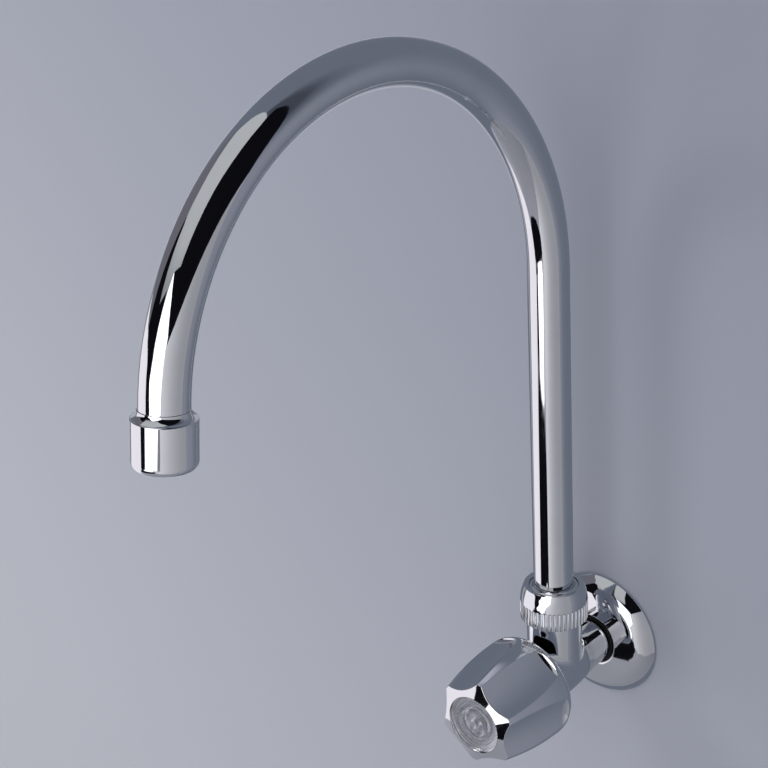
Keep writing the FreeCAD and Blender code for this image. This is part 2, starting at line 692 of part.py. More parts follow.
def bonnet():
    """Headwork: threaded barrel, hexagon and neck, bored for the spindle and its packing."""
    thread = half("bonnet_thread_diameter")
    corner = "(sizes.bonnet_hex / sqrt(3))"
    neck = half("bonnet_neck_diameter")
    bore = larger("spindle_thread_diameter", "running_clearance")
    stem = larger("spindle_diameter", "running_clearance")
    packing = larger("packing_diameter", "assembly_gap")
    bore_front = f"({THREAD_FRONT} + sizes.travel + sizes.free_gap)"
    corners = [
        (bore, BONNET_BACK),
        (thread, BONNET_BACK),
        (thread, HEX_BACK),
        (corner, HEX_BACK),
        (corner, HEX_FRONT),
        (neck, HEX_FRONT),
        (neck, NECK_FRONT),
        (packing, NECK_FRONT),
        (packing, PACKING_BACK),
        (stem, PACKING_BACK),
        (stem, bore_front),
        (bore, bore_front),
    ]
    body = on_hub("bonnet", corners)
    outside(body, "bonnet_flats", lambda sketch: hexagon(sketch, "sizes.bonnet_hex"), HEX_BACK,
            "sizes.bonnet_hex_thickness")
    return body


def gland_packing():
    """Packing ring round the spindle."""
    inner = larger("spindle_diameter", "running_clearance")
    return on_hub("gland_packing", box_outline(inner, half("packing_diameter"), PACKING_BACK, FOLLOWER_BACK))


def gland_follower():
    """Brass ring between packing and gland nut."""
    inner = larger("spindle_diameter", "running_clearance")
    return on_hub("gland_follower", box_outline(inner, half("packing_diameter"), FOLLOWER_BACK, ROOF_BACK))


def gland_nut():
    """Cap nut on the bonnet's neck."""
    corner = "(sizes.gland_nut_hex / sqrt(3))"
    inner = larger("spindle_diameter", "running_clearance")
    thread = larger("bonnet_neck_diameter", "assembly_gap")
    skirt_back = f"({ROOF_BACK} - sizes.gland_nut_skirt)"
    front = f"({ROOF_BACK} + sizes.gland_nut_roof)"
    corners = [
        (thread, skirt_back),
        (corner, skirt_back),
        (corner, front),
        (inner, front),
        (inner, ROOF_BACK),
        (thread, ROOF_BACK),
    ]
    body = on_hub("gland_nut", corners)
    outside(body, "gland_flats", lambda sketch: hexagon(sketch, "sizes.gland_nut_hex"), skirt_back,
            "sizes.gland_nut_skirt + sizes.gland_nut_roof")
    return body


def spindle():
    """Rising spindle: hollow nose for the jumper, thread, stem and square end."""
    nose = half("spindle_nose_diameter")
    thread = half("spindle_thread_diameter")
    stem = half("spindle_diameter")
    hole = half("handle_screw_diameter")
    socket = larger("jumper_stem_diameter", "running_clearance")
    socket_front = f"({JUMPER_FRONT} + sizes.jumper_stem_length + sizes.free_gap)"
    hole_back = f"({SCREW_SEAT} - sizes.handle_screw_length - 1)"
    corners = [
        (socket, SPINDLE_BACK),
        (nose, SPINDLE_BACK),
        (nose, THREAD_BACK),
        (thread, THREAD_BACK),
        (thread, THREAD_FRONT),
        (stem, THREAD_FRONT),
        (stem, SPINDLE_FRONT),
        (f"({hole} + sizes.assembly_gap)", SPINDLE_FRONT),
        (f"({hole} + sizes.assembly_gap)", hole_back),
        ("0", hole_back),
        ("0", socket_front),
        (socket, socket_front),
    ]
    body = on_hub("spindle", corners)
    square_back = f"({BOSS_BACK} - sizes.free_gap)"
    outside(body, "spindle_flats", lambda sketch: square(sketch, "sizes.spindle_square"), square_back,
            f"{SPINDLE_FRONT} - {square_back}")
    turn_with_handle(body)
    return body


def jumper():
    """Disc with a stem: it lifts with the spindle and doesn't turn."""
    stem_front = f"({JUMPER_FRONT} + sizes.jumper_stem_length)"
    hole = larger("washer_screw_diameter", "assembly_gap")
    hole_front = f"({SEAT_LIP} + sizes.washer_screw_length + 0.5)"
    corners = [
        (hole, JUMPER_BACK),
        (half("jumper_diameter"), JUMPER_BACK),
        (half("jumper_diameter"), JUMPER_FRONT),
        (half("jumper_stem_diameter"), JUMPER_FRONT),
        (half("jumper_stem_diameter"), stem_front),
        ("0", stem_front),
        ("0", hole_front),
        (hole, hole_front),
    ]
    return on_hub("jumper", corners)


def seat_washer():
    """Rubber washer that closes on the seat's lip."""
    hole = larger("washer_screw_diameter", "assembly_gap")
    return on_hub("seat_washer", box_outline(hole, half("seat_washer_diameter"), SEAT_LIP, JUMPER_BACK))


def slotted_screw(label, head, shank, seat, head_end, shank_end):
    """Screw along the hub's axis, with a slot across its head."""
    corners = [
        ("0", shank_end),
        (shank, shank_end),
        (shank, seat),
        (head, seat),
        (head, head_end),
        ("0", head_end),
    ]
    return on_hub(label, corners)


def screw_slot(sketch, head):
    """Slot across a screw's head."""
    side = "(sizes.screw_slot_width / 2)"
    reach = f"({head} + 1)"
    corners = [(reach, f"-{side}"), (reach, side), (f"-{reach}", side), (f"-{reach}", f"-{side}")]
    draw_outline(sketch, corners)


def washer_screw():
    """Screw that holds the washer on the jumper; its head lies in the seat's bore."""
    head = half("washer_screw_head_diameter")
    head_end = f"({SEAT_LIP} - sizes.washer_screw_head_height)"
    shank_end = f"({SEAT_LIP} + sizes.washer_screw_length)"
    body = slotted_screw("washer_screw", head, half("washer_screw_diameter"), SEAT_LIP, head_end, shank_end)
    pocket(body, "slot", "XZ_Plane", lambda sketch: screw_slot(sketch, head),
           "sizes.screw_slot_depth", reverse=True, offset=head_end)
    return body


def handle_screw():
    """Screw that holds the handle on the spindle's end."""
    head = half("handle_screw_head_diameter")
    head_end = f"({SCREW_SEAT} + sizes.handle_screw_head_height)"
    shank_end = f"({SCREW_SEAT} - sizes.handle_screw_length)"
    body = slotted_screw("handle_screw", head, half("handle_screw_diameter"), SCREW_SEAT, head_end, shank_end)
    pocket(body, "slot", "XZ_Plane", lambda sketch: screw_slot(sketch, head),
           "sizes.screw_slot_depth", offset=head_end)
    return body


def handle_shell():
    """Fluted handle: a barrel with a conical front, a hollow, a boss and six tapering flutes."""
    recess = larger("button_diameter", "assembly_gap")
    corner = half("handle_front_diameter")
    corner_distance = f"({HANDLE_FRONT} - ({corner} - {recess}) * tan(sizes.handle_face_slope))"
    widest = half("handle_diameter")
    rear = "sizes.handle_rear_radius"
    widest_distance = f"({HANDLE_BACK} + {rear} + sizes.handle_widest_length)"
    run = f"({corner_distance} - {widest_distance})"
    drop = f"({widest} - {corner})"
    barrel = f"(({run} * {run} + {drop} * {drop}) / (2 * {drop}))"
    corners = [
        (recess, HANDLE_FRONT),
        (corner, corner_distance, barrel, 1),
        (widest, widest_distance),
        (widest, f"{HANDLE_BACK} + {rear}", rear, 1),
        (f"{widest} - {rear}", HANDLE_BACK),
        (half("handle_opening"), HANDLE_BACK),
        (half("handle_hollow_front"), WEB_BACK),
        (half("boss_diameter"), WEB_BACK),
        (half("boss_diameter"), BOSS_BACK),
        ("0", BOSS_BACK),
        ("0", SCREW_SEAT),
        (half("screw_pocket_diameter"), SCREW_SEAT),
        (half("screw_pocket_diameter"), DISC_BACK),
        (recess, DISC_BACK),
    ]
    body = new_body("handle_shell")
    turn(body, "Revolution", "barrel", "XY_Plane", out(corners))
    cut_flutes(body)
    pocket(body, "square_hole", "XZ_Plane",
           lambda sketch: square(sketch, "(sizes.spindle_square + 2 * sizes.assembly_gap)"),
           f"{SPINDLE_FRONT} + sizes.free_gap - {BOSS_BACK}", reverse=True, offset=BOSS_BACK)
    hole = larger("handle_screw_diameter", "assembly_gap")
    cut(body, "screw_hole", "XY_Plane", out(box_outline("0", hole, BOSS_BACK, SCREW_SEAT)))
    doc.recompute()
    edges = polished_edges(body.Tip.Shape, number(corner), number(corner_distance))
    dress(body, "Fillet", "polished_edges", "handle_edge_radius", edges)
    turn_with_handle(body)
    return body


def polished_edges(shape, rim_radius, rim_distance):
    """Names of the edges that bound the flutes from the front, and of the front's broken rim."""
    names = []
    for index, edge in enumerate(shape.Edges, 1):
        box = edge.BoundBox
        if isinstance(edge.Curve, Part.Circle):
            if abs(edge.Curve.Radius - rim_radius) < 0.01:
                names.append(f"Edge{index}")
        elif not isinstance(edge.Curve, Part.Line) and box.YMin < -(rim_distance - 0.5):
            names.append(f"Edge{index}")
    return names


def turn_with_handle(body):
    """Turn a body round the hub's axis to the handle's angle when shut."""
    body.Placement.Rotation = FreeCAD.Rotation(FreeCAD.Vector(0, 1, 0), 1)
    body.setExpression("Placement.Rotation.Angle", "sizes.handle_angle")


def cut_flutes(body):
    """One flute cut by a slanting round tool with a rounded end, then repeated round the handle."""
    rear = f"({RISER} + sizes.flute_rear_reach)"
    slope = f"((sizes.flute_rear_floor - sizes.flute_front_floor) / ({HANDLE_FRONT} - {rear}))"
    length = f"(sqrt(1 + {slope} * {slope}))"

    def place(along, above):
        """Point of the tool: distance along its floor from its end, and height above the floor."""
        distance = f"({rear} + (({along}) + ({above}) * {slope}) / {length})"
        height = f"(sizes.flute_rear_floor + (({above}) - ({along}) * {slope}) / {length})"
        return f"-{distance}", height

    reach = f"({HANDLE_FRONT} - {rear} + 8)"
    end = "sizes.flute_end_radius"
    axis = [place("0", "sizes.flute_radius"), place(reach, "sizes.flute_radius")]
    outline = [
        (*place("0", "sizes.flute_radius"),),
        (*place(f"-({end})", "sizes.flute_radius"),),
        (*place(f"-({end})", end), end, -1),
        (*place("0", "0"),),
        (*place(reach, "0"),),
        (*place(reach, "sizes.flute_radius"),),
    ]
    flute = cut(body, "flute", "YZ_Plane", outline, axis)
    ring_pattern(body, "flutes", [flute], "Y_Axis", "sizes.handle_flutes")


def index_disc():
    """Bright disc behind the clear button."""
    return on_hub("index_disc", box_outline("0", half("button_diameter"), DISC_BACK, BUTTON_BACK))


def index_button():
    """Clear button with a slightly crowned face."""
    edge = half("button_diameter")
    crown = f"(({edge} * {edge} + sizes.button_crown * sizes.button_crown) / (2 * sizes.button_crown))"
    bevel = "sizes.button_edge_bevel"
    corners = [
        ("0", BUTTON_BACK),
        (edge, BUTTON_BACK),
        (edge, f"{HANDLE_FRONT} - {bevel}"),
        (f"{edge} - {bevel}", HANDLE_FRONT, crown, -1),
        ("0", f"{HANDLE_FRONT} + sizes.button_crown"),
    ]
    return on_hub("index_button", corners)


def union_nut():
    """Nut with a knurled skirt and a domed top, dished round the spout."""
    outer = half("nut_diameter")
    top = half("nut_top_diameter")
    run = "(sizes.nut_top_height - sizes.nut_dome_height)"
    drop = f"({outer} - {top})"
    dome = f"(({run} * {run} + {drop} * {drop}) / (2 * {drop}))"
    thread = larger("socket_thread_diameter", "assembly_gap")
    bevel = "sizes.nut_edge_bevel"
    corners = [
        (thread, "sizes.nut_bottom_height"),
        (f"{outer} - {bevel}", "sizes.nut_bottom_height"),
        (outer, f"sizes.nut_bottom_height + {bevel}"),
        (outer, "sizes.nut_dome_height", dome, 1),
        (top, "sizes.nut_top_height"),
        (half("nut_opening"), "sizes.nut_top_height - sizes.nut_dish"),
        (half("nut_opening"), "sizes.nut_roof_height"),
        (thread, "sizes.nut_roof_height"),
    ]
    body = on_riser("union_nut", corners)
    cut_knurl(body)
    return body


def cut_knurl(body):
    """Round-ended grooves all round the nut's skirt."""
    axis_place = "sizes.knurl_groove_axis"
    groove = "sizes.knurl_groove_radius"
    low = "(sizes.nut_bottom_height - 1)"
    high = f"(sizes.knurl_top_height - {groove})"
    axis = [(axis_place, low), (axis_place, "sizes.knurl_top_height")]
    outline = [
        (axis_place, low),
        (f"{axis_place} + {groove}", low),
        (f"{axis_place} + {groove}", high, groove, 1),
        (axis_place, "sizes.knurl_top_height"),
    ]
    feature = cut(body, "knurl_groove", "XZ_Plane", outline, axis)
    ring_pattern(body, "knurl", [feature], "Z_Axis", "sizes.knurl_count")


def thrust_washer():
    """Plastic washer between the socket's rim and the foot's collar."""
    inner = f"({half('socket_bore')} + sizes.assembly_gap)"
    outer = f"({half('collar_diameter')} - sizes.assembly_gap)"
    return on_riser("thrust_washer", box_outline(inner, outer, "sizes.socket_rim_height", COLLAR_BOTTOM))


def slip_ring():
    """Plastic ring between the foot's collar and the nut's roof."""
    inner = f"({half('flare_diameter')} + sizes.assembly_gap)"
    outer = f"({half('collar_diameter')} - sizes.assembly_gap)"
    return on_riser("slip_ring", box_outline(inner, outer, COLLAR_TOP, "sizes.nut_roof_height"))


def spout_foot():
    """Ferrule on the tube's lower end: flare, collar and two grooves for sealing rings."""
    turning = f"({half('socket_bore')} - sizes.running_clearance)"
    tube = larger("tube_diameter", "assembly_gap")
    floor = f"({turning} - sizes.ring_section)"
    upper = "(sizes.lower_ring_height + sizes.ring_spacing)"
    flare = half("flare_diameter")
    thin = f"({tube} + sizes.flare_step)"
    rise, span = "sizes.flare_rise", f"({flare} - {thin})"
    curve = f"(({rise} * {rise} + {span} * {span}) / (2 * {span}))"
    corners = [(half("foot_bore"), "sizes.foot_bottom_height"), (turning, "sizes.foot_bottom_height")]
    for middle in ("sizes.lower_ring_height", upper):
        low = f"{middle} - sizes.ring_groove_width / 2"
        high = f"{middle} + sizes.ring_groove_width / 2"
        corners += [(turning, low), (floor, low), (floor, high), (turning, high)]
    corners += [
        (turning, COLLAR_BOTTOM),
        (half("collar_diameter"), COLLAR_BOTTOM),
        (half("collar_diameter"), COLLAR_TOP),
        (flare, COLLAR_TOP),
        (flare, "sizes.flare_edge_height", curve, -1),
        (thin, f"sizes.flare_edge_height + {rise}"),
        (tube, f"sizes.flare_edge_height + {rise}"),
        (tube, "sizes.tube_foot_height"),
        (half("foot_bore"), "sizes.tube_foot_height"),
    ]
    return on_riser("spout_foot", corners)


def spout_o_rings():
    """Two identical sealing rings in the foot's grooves."""
    label = "spout_o_rings"
    section = "(sizes.ring_section / 2)"
    middle = f"({half('socket_bore')} - sizes.running_clearance / 2 - {section})"
    rings = []
    for place, height in enumerate(
        ("sizes.lower_ring_height", "sizes.lower_ring_height + sizes.ring_spacing"), 1
    ):
        ring = doc.addObject("Part::Torus", f"spout_o_ring_{place}")
        ring.setExpression("Radius1", middle)
        ring.setExpression("Radius2", section)
        ring.setExpression("Placement.Base.y", f"-{RISER}")
        ring.setExpression("Placement.Base.z", height)
        rings.append(ring)
    group = doc.addObject("Part::Compound", label)
    group.Links = rings
    group.Label = label
    return group


def spout_tube():
    """Round tube: riser, bend and short outlet, each with the tube's ring section."""
    body = new_body("spout_tube")
    outer = half("tube_diameter")
    inner = f"({outer} - sizes.tube_wall)"

    def ring(sketch, x, y):
        draw_circle(sketch, x, y, outer)
        draw_circle(sketch, x, y, inner)

    riser = new_sketch(body, "riser_section", "XY_Plane")
    ring(riser, "0", f"-{RISER}")
    riser.setExpression("AttachmentOffset.Base.z", "sizes.tube_foot_height")
    straight = body.newObject("PartDesign::Pad", "riser")
    straight.Profile = riser
    straight.setExpression("Length", "sizes.riser_height - sizes.tube_foot_height")
    bend_section = new_sketch(body, "bend_section", "XY_Plane")
    bend_centre = f"-({RISER} + sizes.bend_radius)"
    draw_axis(bend_section, [("0", bend_centre), ("10", bend_centre)])
    ring(bend_section, "0", f"-{RISER}")
    bend_section.setExpression("AttachmentOffset.Base.z", "sizes.riser_height")
    bend = body.newObject("PartDesign::Revolution", "bend")
    bend.Profile = bend_section
    bend.ReferenceAxis = (bend_section, ["Axis0"])
    bend.Angle = number("sizes.bend_angle")
    bend.setExpression("Angle", "sizes.bend_angle")
    outlet = new_sketch(body, "outlet_section", "XY_Plane")
    ring(outlet, "0", "0")
    outlet.AttachmentOffset = FreeCAD.Placement(
        FreeCAD.Vector(), FreeCAD.Rotation(FreeCAD.Vector(1, 0, 0), 1)
    )
    outlet.setExpression("AttachmentOffset.Base.y", f"-{BEND_END_REACH}")
    outlet.setExpression("AttachmentOffset.Base.z", BEND_END_HEIGHT)
    outlet.setExpression("AttachmentOffset.Rotation.Angle", "sizes.bend_angle - 180")
    end = body.newObject("PartDesign::Pad", "outlet")
    end.Profile = outlet
    end.Reversed = True
    end.setExpression("Length", "sizes.outlet_straight + sizes.tube_insertion")
    doc.recompute()
    return body


def outlet_nipple():
    """Flared, threaded ferrule on the tube's outlet end."""
    tube = larger("tube_diameter", "assembly_gap")
    collar = half("nipple_collar_diameter")
    thin = f"({tube} + sizes.flare_step)"
    rise = "(sizes.outlet_straight - sizes.free_gap)"
    span = f"({collar} - {thin})"
    curve = f"(({rise} * {rise} + {span} * {span}) / (2 * {span}))"
    corners = [
        (half("nipple_bore"), "-sizes.nipple_length"),
        (half("nipple_thread_diameter"), "-sizes.nipple_length"),
        (half("nipple_thread_diameter"), "-sizes.nipple_collar_depth"),
        (collar, "-sizes.nipple_collar_depth"),
        (collar, "0", curve, -1),
        (thin, rise),
        (tube, rise),
        (tube, "-sizes.tube_insertion"),
        (half("nipple_bore"), "-sizes.tube_insertion"),
    ]
    return on_outlet("outlet_nipple", corners)


def aerator_housing():
    """Sleeve that screws on the nipple and holds the cartridge on its lower lip."""
    outer = half("housing_diameter")
    collar = larger("nipple_collar_diameter", "assembly_gap")
    thread = larger("nipple_thread_diameter", "assembly_gap")
    bevel = f"({outer} - sizes.housing_bevel_depth)"
    run, drop = "sizes.housing_bevel_length", "sizes.housing_bevel_depth"
    curve = f"(({run} * {run} + {drop} * {drop}) / (2 * {drop}))"
    bottom = "-sizes.housing_length"
    corners = [
        (half("housing_mouth"), bottom),
        (bevel, bottom, curve, 1),
        (outer, f"{bottom} + {run}"),
        (outer, "0"),
        (collar, "0"),
        (collar, "-sizes.nipple_collar_depth - sizes.assembly_gap"),
        (thread, "-sizes.nipple_collar_depth - sizes.assembly_gap"),
        (thread, LIP_TOP),
        (half("housing_mouth"), LIP_TOP),
    ]
    body = on_outlet("aerator_housing", corners)
    dress_circles(body, "Fillet", "rim_edge", "housing_rim_radius", [(outer, "0")])
    return body


def aerator_washer():
    """Flat rubber washer between nipple and cartridge."""
    inner, outer = half("nipple_bore"), half("cartridge_diameter")
    outline = box_outline(inner, outer, CARTRIDGE_TOP, "-sizes.nipple_length")
    return on_outlet("aerator_washer", outline)


def aerator_cartridge():
    """Plastic sleeve that holds the discs over one another."""
    outer = half("cartridge_diameter")
    inner = f"({outer} - sizes.cartridge_wall)"
    return on_outlet("aerator_cartridge", box_outline(inner, outer, LIP_TOP, CARTRIDGE_TOP))


def perforated(label, thickness, top, hole, pitch, rings):
    """Disc inside the cartridge with rings of round holes, six more in each ring."""
    outer = f"({half('cartridge_diameter')} - sizes.cartridge_wall - sizes.assembly_gap)"
    bottom = f"({top} - {thickness})"
    body = on_outlet(label, box_outline("0", outer, bottom, top))
    radius = f"({hole} / 2)"
    low, high = f"{bottom} - 1", f"{top} + 1"
    cut(body, "middle_hole", "XZ_Plane", box_outline("0", radius, low, high))
    for ring in range(1, rings + 1):
        place = f"({ring} * {pitch})"
        axis = [(place, low), (place, high)]
        outline = box_outline(place, f"{place} + {radius}", low, high)
        feature = cut(body, f"ring_{ring}_hole", "XZ_Plane", outline, axis)
        ring_pattern(body, f"ring_{ring}", [feature], "Z_Axis", f"{6 * ring}")
    return body


def aerator_diffuser():
    """Perforated disc that breaks the flow into jets."""
    top = f"({CARTRIDGE_TOP} - sizes.diffuser_depth)"
    return perforated("aerator_diffuser", "sizes.diffuser_thickness", top,
                      "sizes.diffuser_hole", "sizes.diffuser_pitch", 3)


def aerator_mesh():
    """Fine screen below the diffuser."""
    top = f"({CARTRIDGE_TOP} - sizes.mesh_depth)"
    return perforated("aerator_mesh", "sizes.mesh_thickness", top,
                      "sizes.mesh_hole", "sizes.mesh_pitch", 5)


def aerator_grid():
    """Flow straightener that rests on the housing's lip."""
    top = f"({LIP_TOP} + sizes.grid_thickness)"
    return perforated("aerator_grid", "sizes.grid_thickness", top,
                      "sizes.grid_hole", "sizes.grid_pitch", 3)


PARTS = (
    valve_body, wall_flange, flange_grip_ring, valve_seat, bonnet_gasket, bonnet, gland_packing,
    gland_follower, gland_nut, union_nut, thrust_washer, slip_ring, spout_foot, spout_o_rings,
    spout_tube, outlet_nipple, aerator_housing, aerator_washer, aerator_cartridge,
    aerator_diffuser, aerator_mesh, aerator_grid, jumper, seat_washer, washer_screw, spindle,
    handle_shell, handle_screw, index_disc, index_button,
)


def check(parts):
    """Stop if an object failed or a sub-part has no valid solid."""
    for item in doc.Objects:
        if "Invalid" in item.State or "Error" in item.State:
            raise RuntimeError(f"{item.Label} failed: {item.State}")
    for part in parts:
        shape = part.Shape
        if shape.isNull() or not shape.isValid() or not shape.Solids:
            raise RuntimeError(f"{part.Label} has no valid solid")


def main():
    """Build every sub-part, check it and write its file."""
    os.makedirs("parts", exist_ok=True)
    fill_sheet()
    parts = [build() for build in PARTS]
    doc.recompute()
    check(parts)
    for part in parts:
        part.Shape.exportStep(f"parts/{part.Label}.step")
        print(f"{part.Label}: {len(part.Shape.Solids)} solid, {part.Shape.Volume:.1f} mm3")


main()
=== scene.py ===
import math

import bmesh
import bpy
from bpy.props import FloatProperty, FloatVectorProperty, IntProperty, PointerProperty
from mathutils import Matrix, Vector


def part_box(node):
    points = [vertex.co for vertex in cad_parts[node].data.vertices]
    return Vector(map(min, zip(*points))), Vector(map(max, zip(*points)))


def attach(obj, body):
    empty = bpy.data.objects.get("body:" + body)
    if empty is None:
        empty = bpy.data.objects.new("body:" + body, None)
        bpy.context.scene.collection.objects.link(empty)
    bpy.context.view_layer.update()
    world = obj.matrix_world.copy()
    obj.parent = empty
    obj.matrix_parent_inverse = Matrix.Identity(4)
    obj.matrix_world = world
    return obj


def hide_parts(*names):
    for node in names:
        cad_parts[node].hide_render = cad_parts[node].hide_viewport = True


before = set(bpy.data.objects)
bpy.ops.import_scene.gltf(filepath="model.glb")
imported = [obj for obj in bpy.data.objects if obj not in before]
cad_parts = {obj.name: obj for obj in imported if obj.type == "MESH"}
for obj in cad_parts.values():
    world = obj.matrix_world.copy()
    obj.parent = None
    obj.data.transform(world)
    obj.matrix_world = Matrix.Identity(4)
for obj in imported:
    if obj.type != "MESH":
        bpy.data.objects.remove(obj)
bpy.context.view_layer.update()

bl_info = {
    "name": "Commercial Wall Faucet",
    "version": (1, 0, 0),
    "blender": (4, 5, 0),
    "location": "View3D > Sidebar > Wall Faucet",
    "description": "Dresses a wall-mounted over-arm faucet in its plating, trims and studio",
    "category": "Object",
}

# The riser stands on this vertical line, and the handle turns on the line through it along Y.
RISER_PLACE = (0.0, -0.04, 0.0)
# The outlet's rim and the direction in which the water leaves it.
OUTLET_PLACE = (0.0, -0.261551, 0.215339)
OUTLET_DIRECTION = (0.0, -0.125333, -0.992115)

# Where the camera stands and how it's turned, as solved from the photograph's outlines.
CAMERA_PLACE = (0.420834, -0.595017, 0.449062)
CAMERA_RIGHT = (0.74183575, 0.66834086, -0.05477427)
CAMERA_UP = (-0.22518494, 0.32521863, 0.91843595)
CAMERA_FORWARD = (-0.63164188, 0.66899428, -0.3917591)
# The camera's lens in pixels of a picture this many pixels wide, and its sensor in millimetres.
FOCAL_PIXELS = 1668.571
PICTURE_WIDTH = 768
SENSOR_WIDTH = 36.0

# The wall and the floor reach this far to the sides, outwards and upwards.
ROOM = 6.0
# The wall's colour is painted over to the darker far one between two distances along this direction:
# painted shade, where the light falls off high up on the right.
WALL_SHADE_SLANT = (0.57, 0.0, 0.82)
WALL_SHADE_FADE = (-0.55, 0.35)
# The room's light goes over from the low one to the even one between these heights of a direction.
ROOM_LIGHT_FADE = (0.34, 0.75)
# The soft lamp: where it hangs, what it points at, and how wide it is.
LAMP_PLACE = (-0.7, -0.9, 0.75)
LAMP_AIM = (0.0, -0.05, 0.12)
LAMP_SIZE = 0.35

# The reflection cards hang round this place, and stay this clear of the wall and the floor.
CARD_CENTRE = (0.0, -0.22, 0.27)
CARD_CLEARANCE = 0.02
# Each card is its name, distance, light and outline, and how its light fades if it does.
# An outline is compass bearings and heights in degrees, and a distance where it isn't the card's.
# Bearing 0 is straight out from the wall, and 90 is to the right along X. A fade is a second light,
# and the places along Y between which the card goes over to it.
CARDS = (
    ("window", 2.2, (1.75, 1.75, 1.80),
     ((3, 33), (-8, 10), (-11, 4), (-18, -1), (-21, -6), (-22, -13), (-23.5, -21), (-20, -27.3),
      (-10, -28.6), (4, -28.8), (8, -25), (10, -20), (33, -12), (40, 8), (25, 22)), None),
    ("dark_right", 2.3, (0.004, 0.004, 0.006),
     ((3, 33), (25, 33), (40, 58), (60, 66), (82, 68), (97, 74), (112, 72), (116, -2),
      (70, -2), (38, -2), (40, 8), (25, 22)), None),
    ("dark_left", 2.3, (0.004, 0.004, 0.006),
     ((-57, 3), (-53, 40), (-45, 40), (-25, 20), (-5, 27), (-2, 10), (-2, -22), (-29, -27),
      (-36, -24), (-36, 0)), None),
    ("dark_low", 2.25, (0.004, 0.004, 0.006),
     ((-50, -38), (-40, -30), (-30, -26.5), (-10, -28.5), (3, -29), (11, -32), (13, -40),
      (0, -49), (-20, -50), (-40, -47)), None),
    ("side_left", 2.35, (0.155, 0.152, 0.178),
     ((-98, 2), (-98, 46), (-60, 46), (-53, 40), (-57, 3)), None),
    ("glow_left", 2.27, (0.98, 0.94, 0.99),
     ((-108, -48), (-84, -20), (-80, 3), (-57, 4), (-42, 4), (-33, 0), (-30, -4), (-27, -9),
      (-26.5, -14), (-29, -21), (-37, -28), (-55, -46)), None),
    ("grey_right", 0.60, (0.70, 0.70, 0.73),
     ((36, 3), (34, -8), (32, -19, 0.635), (13, -31, 0.70), (13, -48, 0.90), (116, -48, 0.90), (116, 3)),
     ((0.34, 0.345, 0.37), -0.75, -0.10)),
)

# The wall's painted reflection, which only the metal sees: a card this far in front of the wall, its
# light, and patches of light over that, with painted shade above and near the faucet and painted light
# low down at the sides. A patch is its light, then where it sets in and is full along X, and the same
# along Z.
WALL_CARD_GAP = 0.0006
WALL_CARD_LIGHT = (0.152, 0.172, 0.215)
WALL_PATCHES = (
    ((0.45, 0.46, 0.52), -0.02, -0.10, 0.38, 0.30),
    (WALL_CARD_LIGHT, -0.45, -0.25, 0.20, 0.14),
    ((0.245, 0.258, 0.31), 0.02, 0.22, 0.42, 0.24),
    ((0.34, 0.345, 0.375), 0.20, 0.75, 0.25, 0.05),
    ((0.06, 0.068, 0.09), 0.10, 0.35, 0.30, 0.60),
)


class FaucetFinish(bpy.types.PropertyGroup):
    """Colours and polish of the faucet's metals, rubbers and plastics."""

    chrome: FloatVectorProperty(
        name="Chrome", description="Reflected colour of the chrome plating",
        subtype="COLOR", size=3, min=0.0, max=1.0, default=(0.79, 0.80, 0.83),
    )
    chrome_roughness: FloatProperty(
        name="Chrome Roughness", description="Roughness of freshly polished chrome",
        subtype="FACTOR", min=0.0, max=1.0, default=0.035,
    )
    cast_ripple: FloatProperty(
        name="Cast Ripple", description="Height of the slow ripple that polishing leaves on cast parts",
        unit="LENGTH", min=0.0, max=0.001, default=0.000030, precision=6,
    )
    drawn_ripple: FloatProperty(
        name="Drawn Ripple", description="Height of the slow ripple on drawn tube",
        unit="LENGTH", min=0.0, max=0.001, default=0.000006, precision=6,
    )
    brass: FloatVectorProperty(
        name="Brass", description="Reflected colour of the bare brass",
        subtype="COLOR", size=3, min=0.0, max=1.0, default=(0.80, 0.60, 0.30),
    )
    steel: FloatVectorProperty(
        name="Steel", description="Reflected colour of the stainless screws",
        subtype="COLOR", size=3, min=0.0, max=1.0, default=(0.60, 0.59, 0.57),
    )
    rubber: FloatVectorProperty(
        name="Rubber", description="Colour of the sealing rubber",
        subtype="COLOR", size=3, min=0.0, max=1.0, default=(0.006, 0.006, 0.0065),
    )
    fibre: FloatVectorProperty(
        name="Fibre", description="Colour of the fibre gasket",
        subtype="COLOR", size=3, min=0.0, max=1.0, default=(0.34, 0.10, 0.05),
    )
    white_plastic: FloatVectorProperty(
        name="White Plastic", description="Colour of the moulded acetal rings",
        subtype="COLOR", size=3, min=0.0, max=1.0, default=(0.74, 0.73, 0.69),
    )
    grey_plastic: FloatVectorProperty(
        name="Grey Plastic", description="Colour of the aerator's cup and grid",
        subtype="COLOR", size=3, min=0.0, max=1.0, default=(0.33, 0.34, 0.35),
    )


class FaucetButton(bpy.types.PropertyGroup):
    """Sizes of the clear index button's moulded relief."""

    flutes: IntProperty(
        name="Flutes", description="Number of rays moulded into the underside",
        min=12, max=240, default=96,
    )
    flute_depth: FloatProperty(
        name="Flute Depth", description="Depth of the rays on the underside",
        unit="LENGTH", min=0.0, max=0.001, default=0.00004, precision=5,
    )
    ring_share: FloatProperty(
        name="Ring Share", description="Radius of the round groove as a share of the button's radius",
        subtype="FACTOR", min=0.1, max=0.9, default=0.47,
    )
    ring_depth: FloatProperty(
        name="Ring Depth", description="Depth of the round groove in the face",
        unit="LENGTH", min=0.0, max=0.001, default=0.00014, precision=5,
    )
    crown: FloatProperty(
        name="Crown", description="How far the rim lies behind the middle of the face",
        unit="LENGTH", min=0.0, max=0.002, default=0.0005, precision=5,
    )


